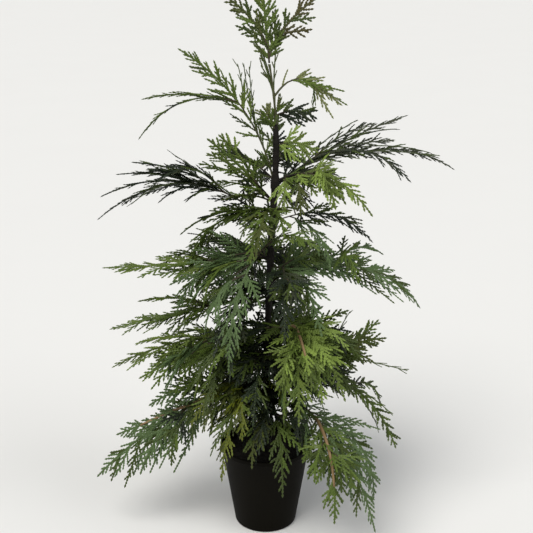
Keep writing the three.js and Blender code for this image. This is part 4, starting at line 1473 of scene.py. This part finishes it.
class CEDAR_OT_limbs(Operator):
    """Build the trunk and the boughs, most of them wound with tape"""
    bl_idname = "cedar.limbs"
    bl_label = "Trunk and Boughs"

    def execute(self, context):
        settings = context.scene.cedar_stem
        tape = mottled_material("wound_tape", settings.tape, TAPE_SURFACE)
        stem = mottled_material("thin_stem", settings.stem, STEM_SURFACE)
        finish_piece(trunk_piece(settings, [tape, stem]), "stem_wrap", "trunk")
        for branch in BRANCHES:
            if branch.bare > 0:
                skin = stem if branch.name in GREEN_BOUGHS else tape
                finish_piece(bough_piece(branch, settings, [skin]), "stem_wrap", f"{branch.name}_bough")
        return {"FINISHED"}


class CEDAR_OT_foliage(Operator):
    """Grow the twigs and scale leaves of every mass of foliage"""
    bl_idname = "cedar.foliage"
    bl_label = "Foliage"

    def execute(self, context):
        settings = context.scene.cedar_foliage
        tints = [leaf_material(settings, tint) for tint in TINTS]
        stems = twig_materials(settings)
        for number, branch in enumerate(BRANCHES):
            spray = Spray(settings, branch.name in SLENDER)
            lines = lines_of(branch)
            for index, (frond, line) in enumerate(zip(branch.fronds, lines)):
                start = 0.0 if index else branch.bare
                seed = number * BRANCH_SEED_STEP + index * FROND_SEED_STEP
                spray.grow_frond(frond, line, start, index, seed, (branch.name, f"main {index}"))
            for key, parent, frond, place in further_fronds(branch, number, lines):
                line = Line(parent.at(frond.fork) if parent else trunk_at(LEADER_FOOT), frond)
                seed = number * BRANCH_SEED_STEP + place * FROND_SEED_STEP + FURTHER_SEEDS
                spray.grow_frond(frond, line, 0.0, place, seed, (branch.name, key))
            seed = number * BRANCH_SEED_STEP + SPRIG_SEEDS
            spray.grow_sprigs(lines[0], branch.bare, branch.fronds[0].tint, seed)
            node = f"{branch.name}_foliage"
            leaves = spray.leaves.build(f"{branch.name}_leaves", tints, smooth=False)
            finish_piece(leaves, "foliage", node)
            twigs = spray.twigs.build(f"{branch.name}_twigs", stems, smooth=True)
            finish_piece(twigs, "foliage", node)
        return {"FINISHED"}


# The floor, the lights and the camera, in metres and degrees
FLOOR_REACH = 24.0
SUN_SPREAD = 40.0
KEY_SUN = ("key", (-0.8, -1.3, 2.2), (1, 0.98, 0.94))
SIDE_SUN = ("side", (1.6, -0.8, 1.3), (1, 1, 1))
SIDE_SUN_SHARE = 0.3
SKY_COLOUR = (0.93, 0.96, 1.0, 1)
CAMERA_PLACE = (0.0014, -1.335, 0.8205)
CAMERA_DIP = 17.9
SENSOR_WIDTH = 36


def soft_sun(name, place, colour, power):
    """A broad light from far off in the direction of a place, the same over the whole floor."""
    light = bpy.data.lights.new(name, "SUN")
    light.angle = math.radians(SUN_SPREAD)
    light.energy = power
    light.color = colour
    lamp = bpy.data.objects.new(name, light)
    lamp.location = place
    lamp.rotation_euler = Vector(place).to_track_quat("Z", "Y").to_euler()
    bpy.context.scene.collection.objects.link(lamp)


def floor_piece(settings):
    mesh = bpy.data.meshes.new("floor")
    corners = [(x * FLOOR_REACH, y * FLOOR_REACH, 0) for x, y in ((-1, -1), (1, -1), (1, 1), (-1, 1))]
    mesh.from_pydata(corners, [], [(0, 1, 2, 3)])
    return add_piece("floor", mesh, [mottled_material("pale_floor", settings.floor, FLOOR_SURFACE)])


def studio_world(settings):
    world = bpy.data.worlds.new("studio")
    world.use_nodes = True
    sky = world.node_tree.nodes["Background"]
    sky.inputs["Color"].default_value = SKY_COLOUR
    sky.inputs["Strength"].default_value = settings.sky_strength
    return world


def front_camera(settings):
    """A camera before the tree and a little above its top's height, looking down on it."""
    camera = bpy.data.cameras.new("camera")
    camera.lens = settings.lens
    camera.sensor_width = SENSOR_WIDTH
    eye = bpy.data.objects.new("camera", camera)
    eye.location = CAMERA_PLACE
    eye.rotation_euler = (math.radians(90 - CAMERA_DIP), 0, 0)
    bpy.context.scene.collection.objects.link(eye)
    return eye


class CEDAR_OT_stage(Operator):
    """Set the pale floor, the soft light and the camera"""
    bl_idname = "cedar.stage"
    bl_label = "Stage"

    def execute(self, context):
        settings = context.scene.cedar_stage
        scene = context.scene
        floor_piece(settings)
        scene.world = studio_world(settings)
        soft_sun(*KEY_SUN, settings.key_power)
        soft_sun(*SIDE_SUN, settings.key_power * SIDE_SUN_SHARE)
        scene.camera = front_camera(settings)
        scene.view_settings.view_transform = "Standard"
        return {"FINISHED"}


class CEDAR_PT_panel(Panel):
    """Lists the steps that build the tree"""
    bl_idname = "CEDAR_PT_panel"
    bl_label = "Potted Cedar"
    bl_space_type = "VIEW_3D"
    bl_region_type = "UI"
    bl_category = "Cedar"

    def draw(self, context):
        for step in STEPS:
            self.layout.operator(step.bl_idname)
        for group in SETTINGS:
            settings = getattr(context.scene, group)
            for name in settings.bl_rna.properties.keys():
                if name not in ("rna_type", "name"):
                    self.layout.prop(settings, name)


SETTINGS = {
    "cedar_pot": CedarPotSettings,
    "cedar_stem": CedarStemSettings,
    "cedar_foliage": CedarFoliageSettings,
    "cedar_stage": CedarStageSettings,
}
STEPS = (CEDAR_OT_pot, CEDAR_OT_limbs, CEDAR_OT_foliage, CEDAR_OT_stage)
CLASSES = (*SETTINGS.values(), *STEPS, CEDAR_PT_panel)


def register():
    for cls in CLASSES:
        bpy.utils.register_class(cls)
    for name, group in SETTINGS.items():
        setattr(bpy.types.Scene, name, PointerProperty(type=group))


def unregister():
    for name in SETTINGS:
        delattr(bpy.types.Scene, name)
    for cls in reversed(CLASSES):
        bpy.utils.unregister_class(cls)


def main():
    register()
    bpy.ops.cedar.pot()
    bpy.ops.cedar.limbs()
    bpy.ops.cedar.foliage()
    bpy.ops.cedar.stage()


if __name__ == "__main__":
    main()
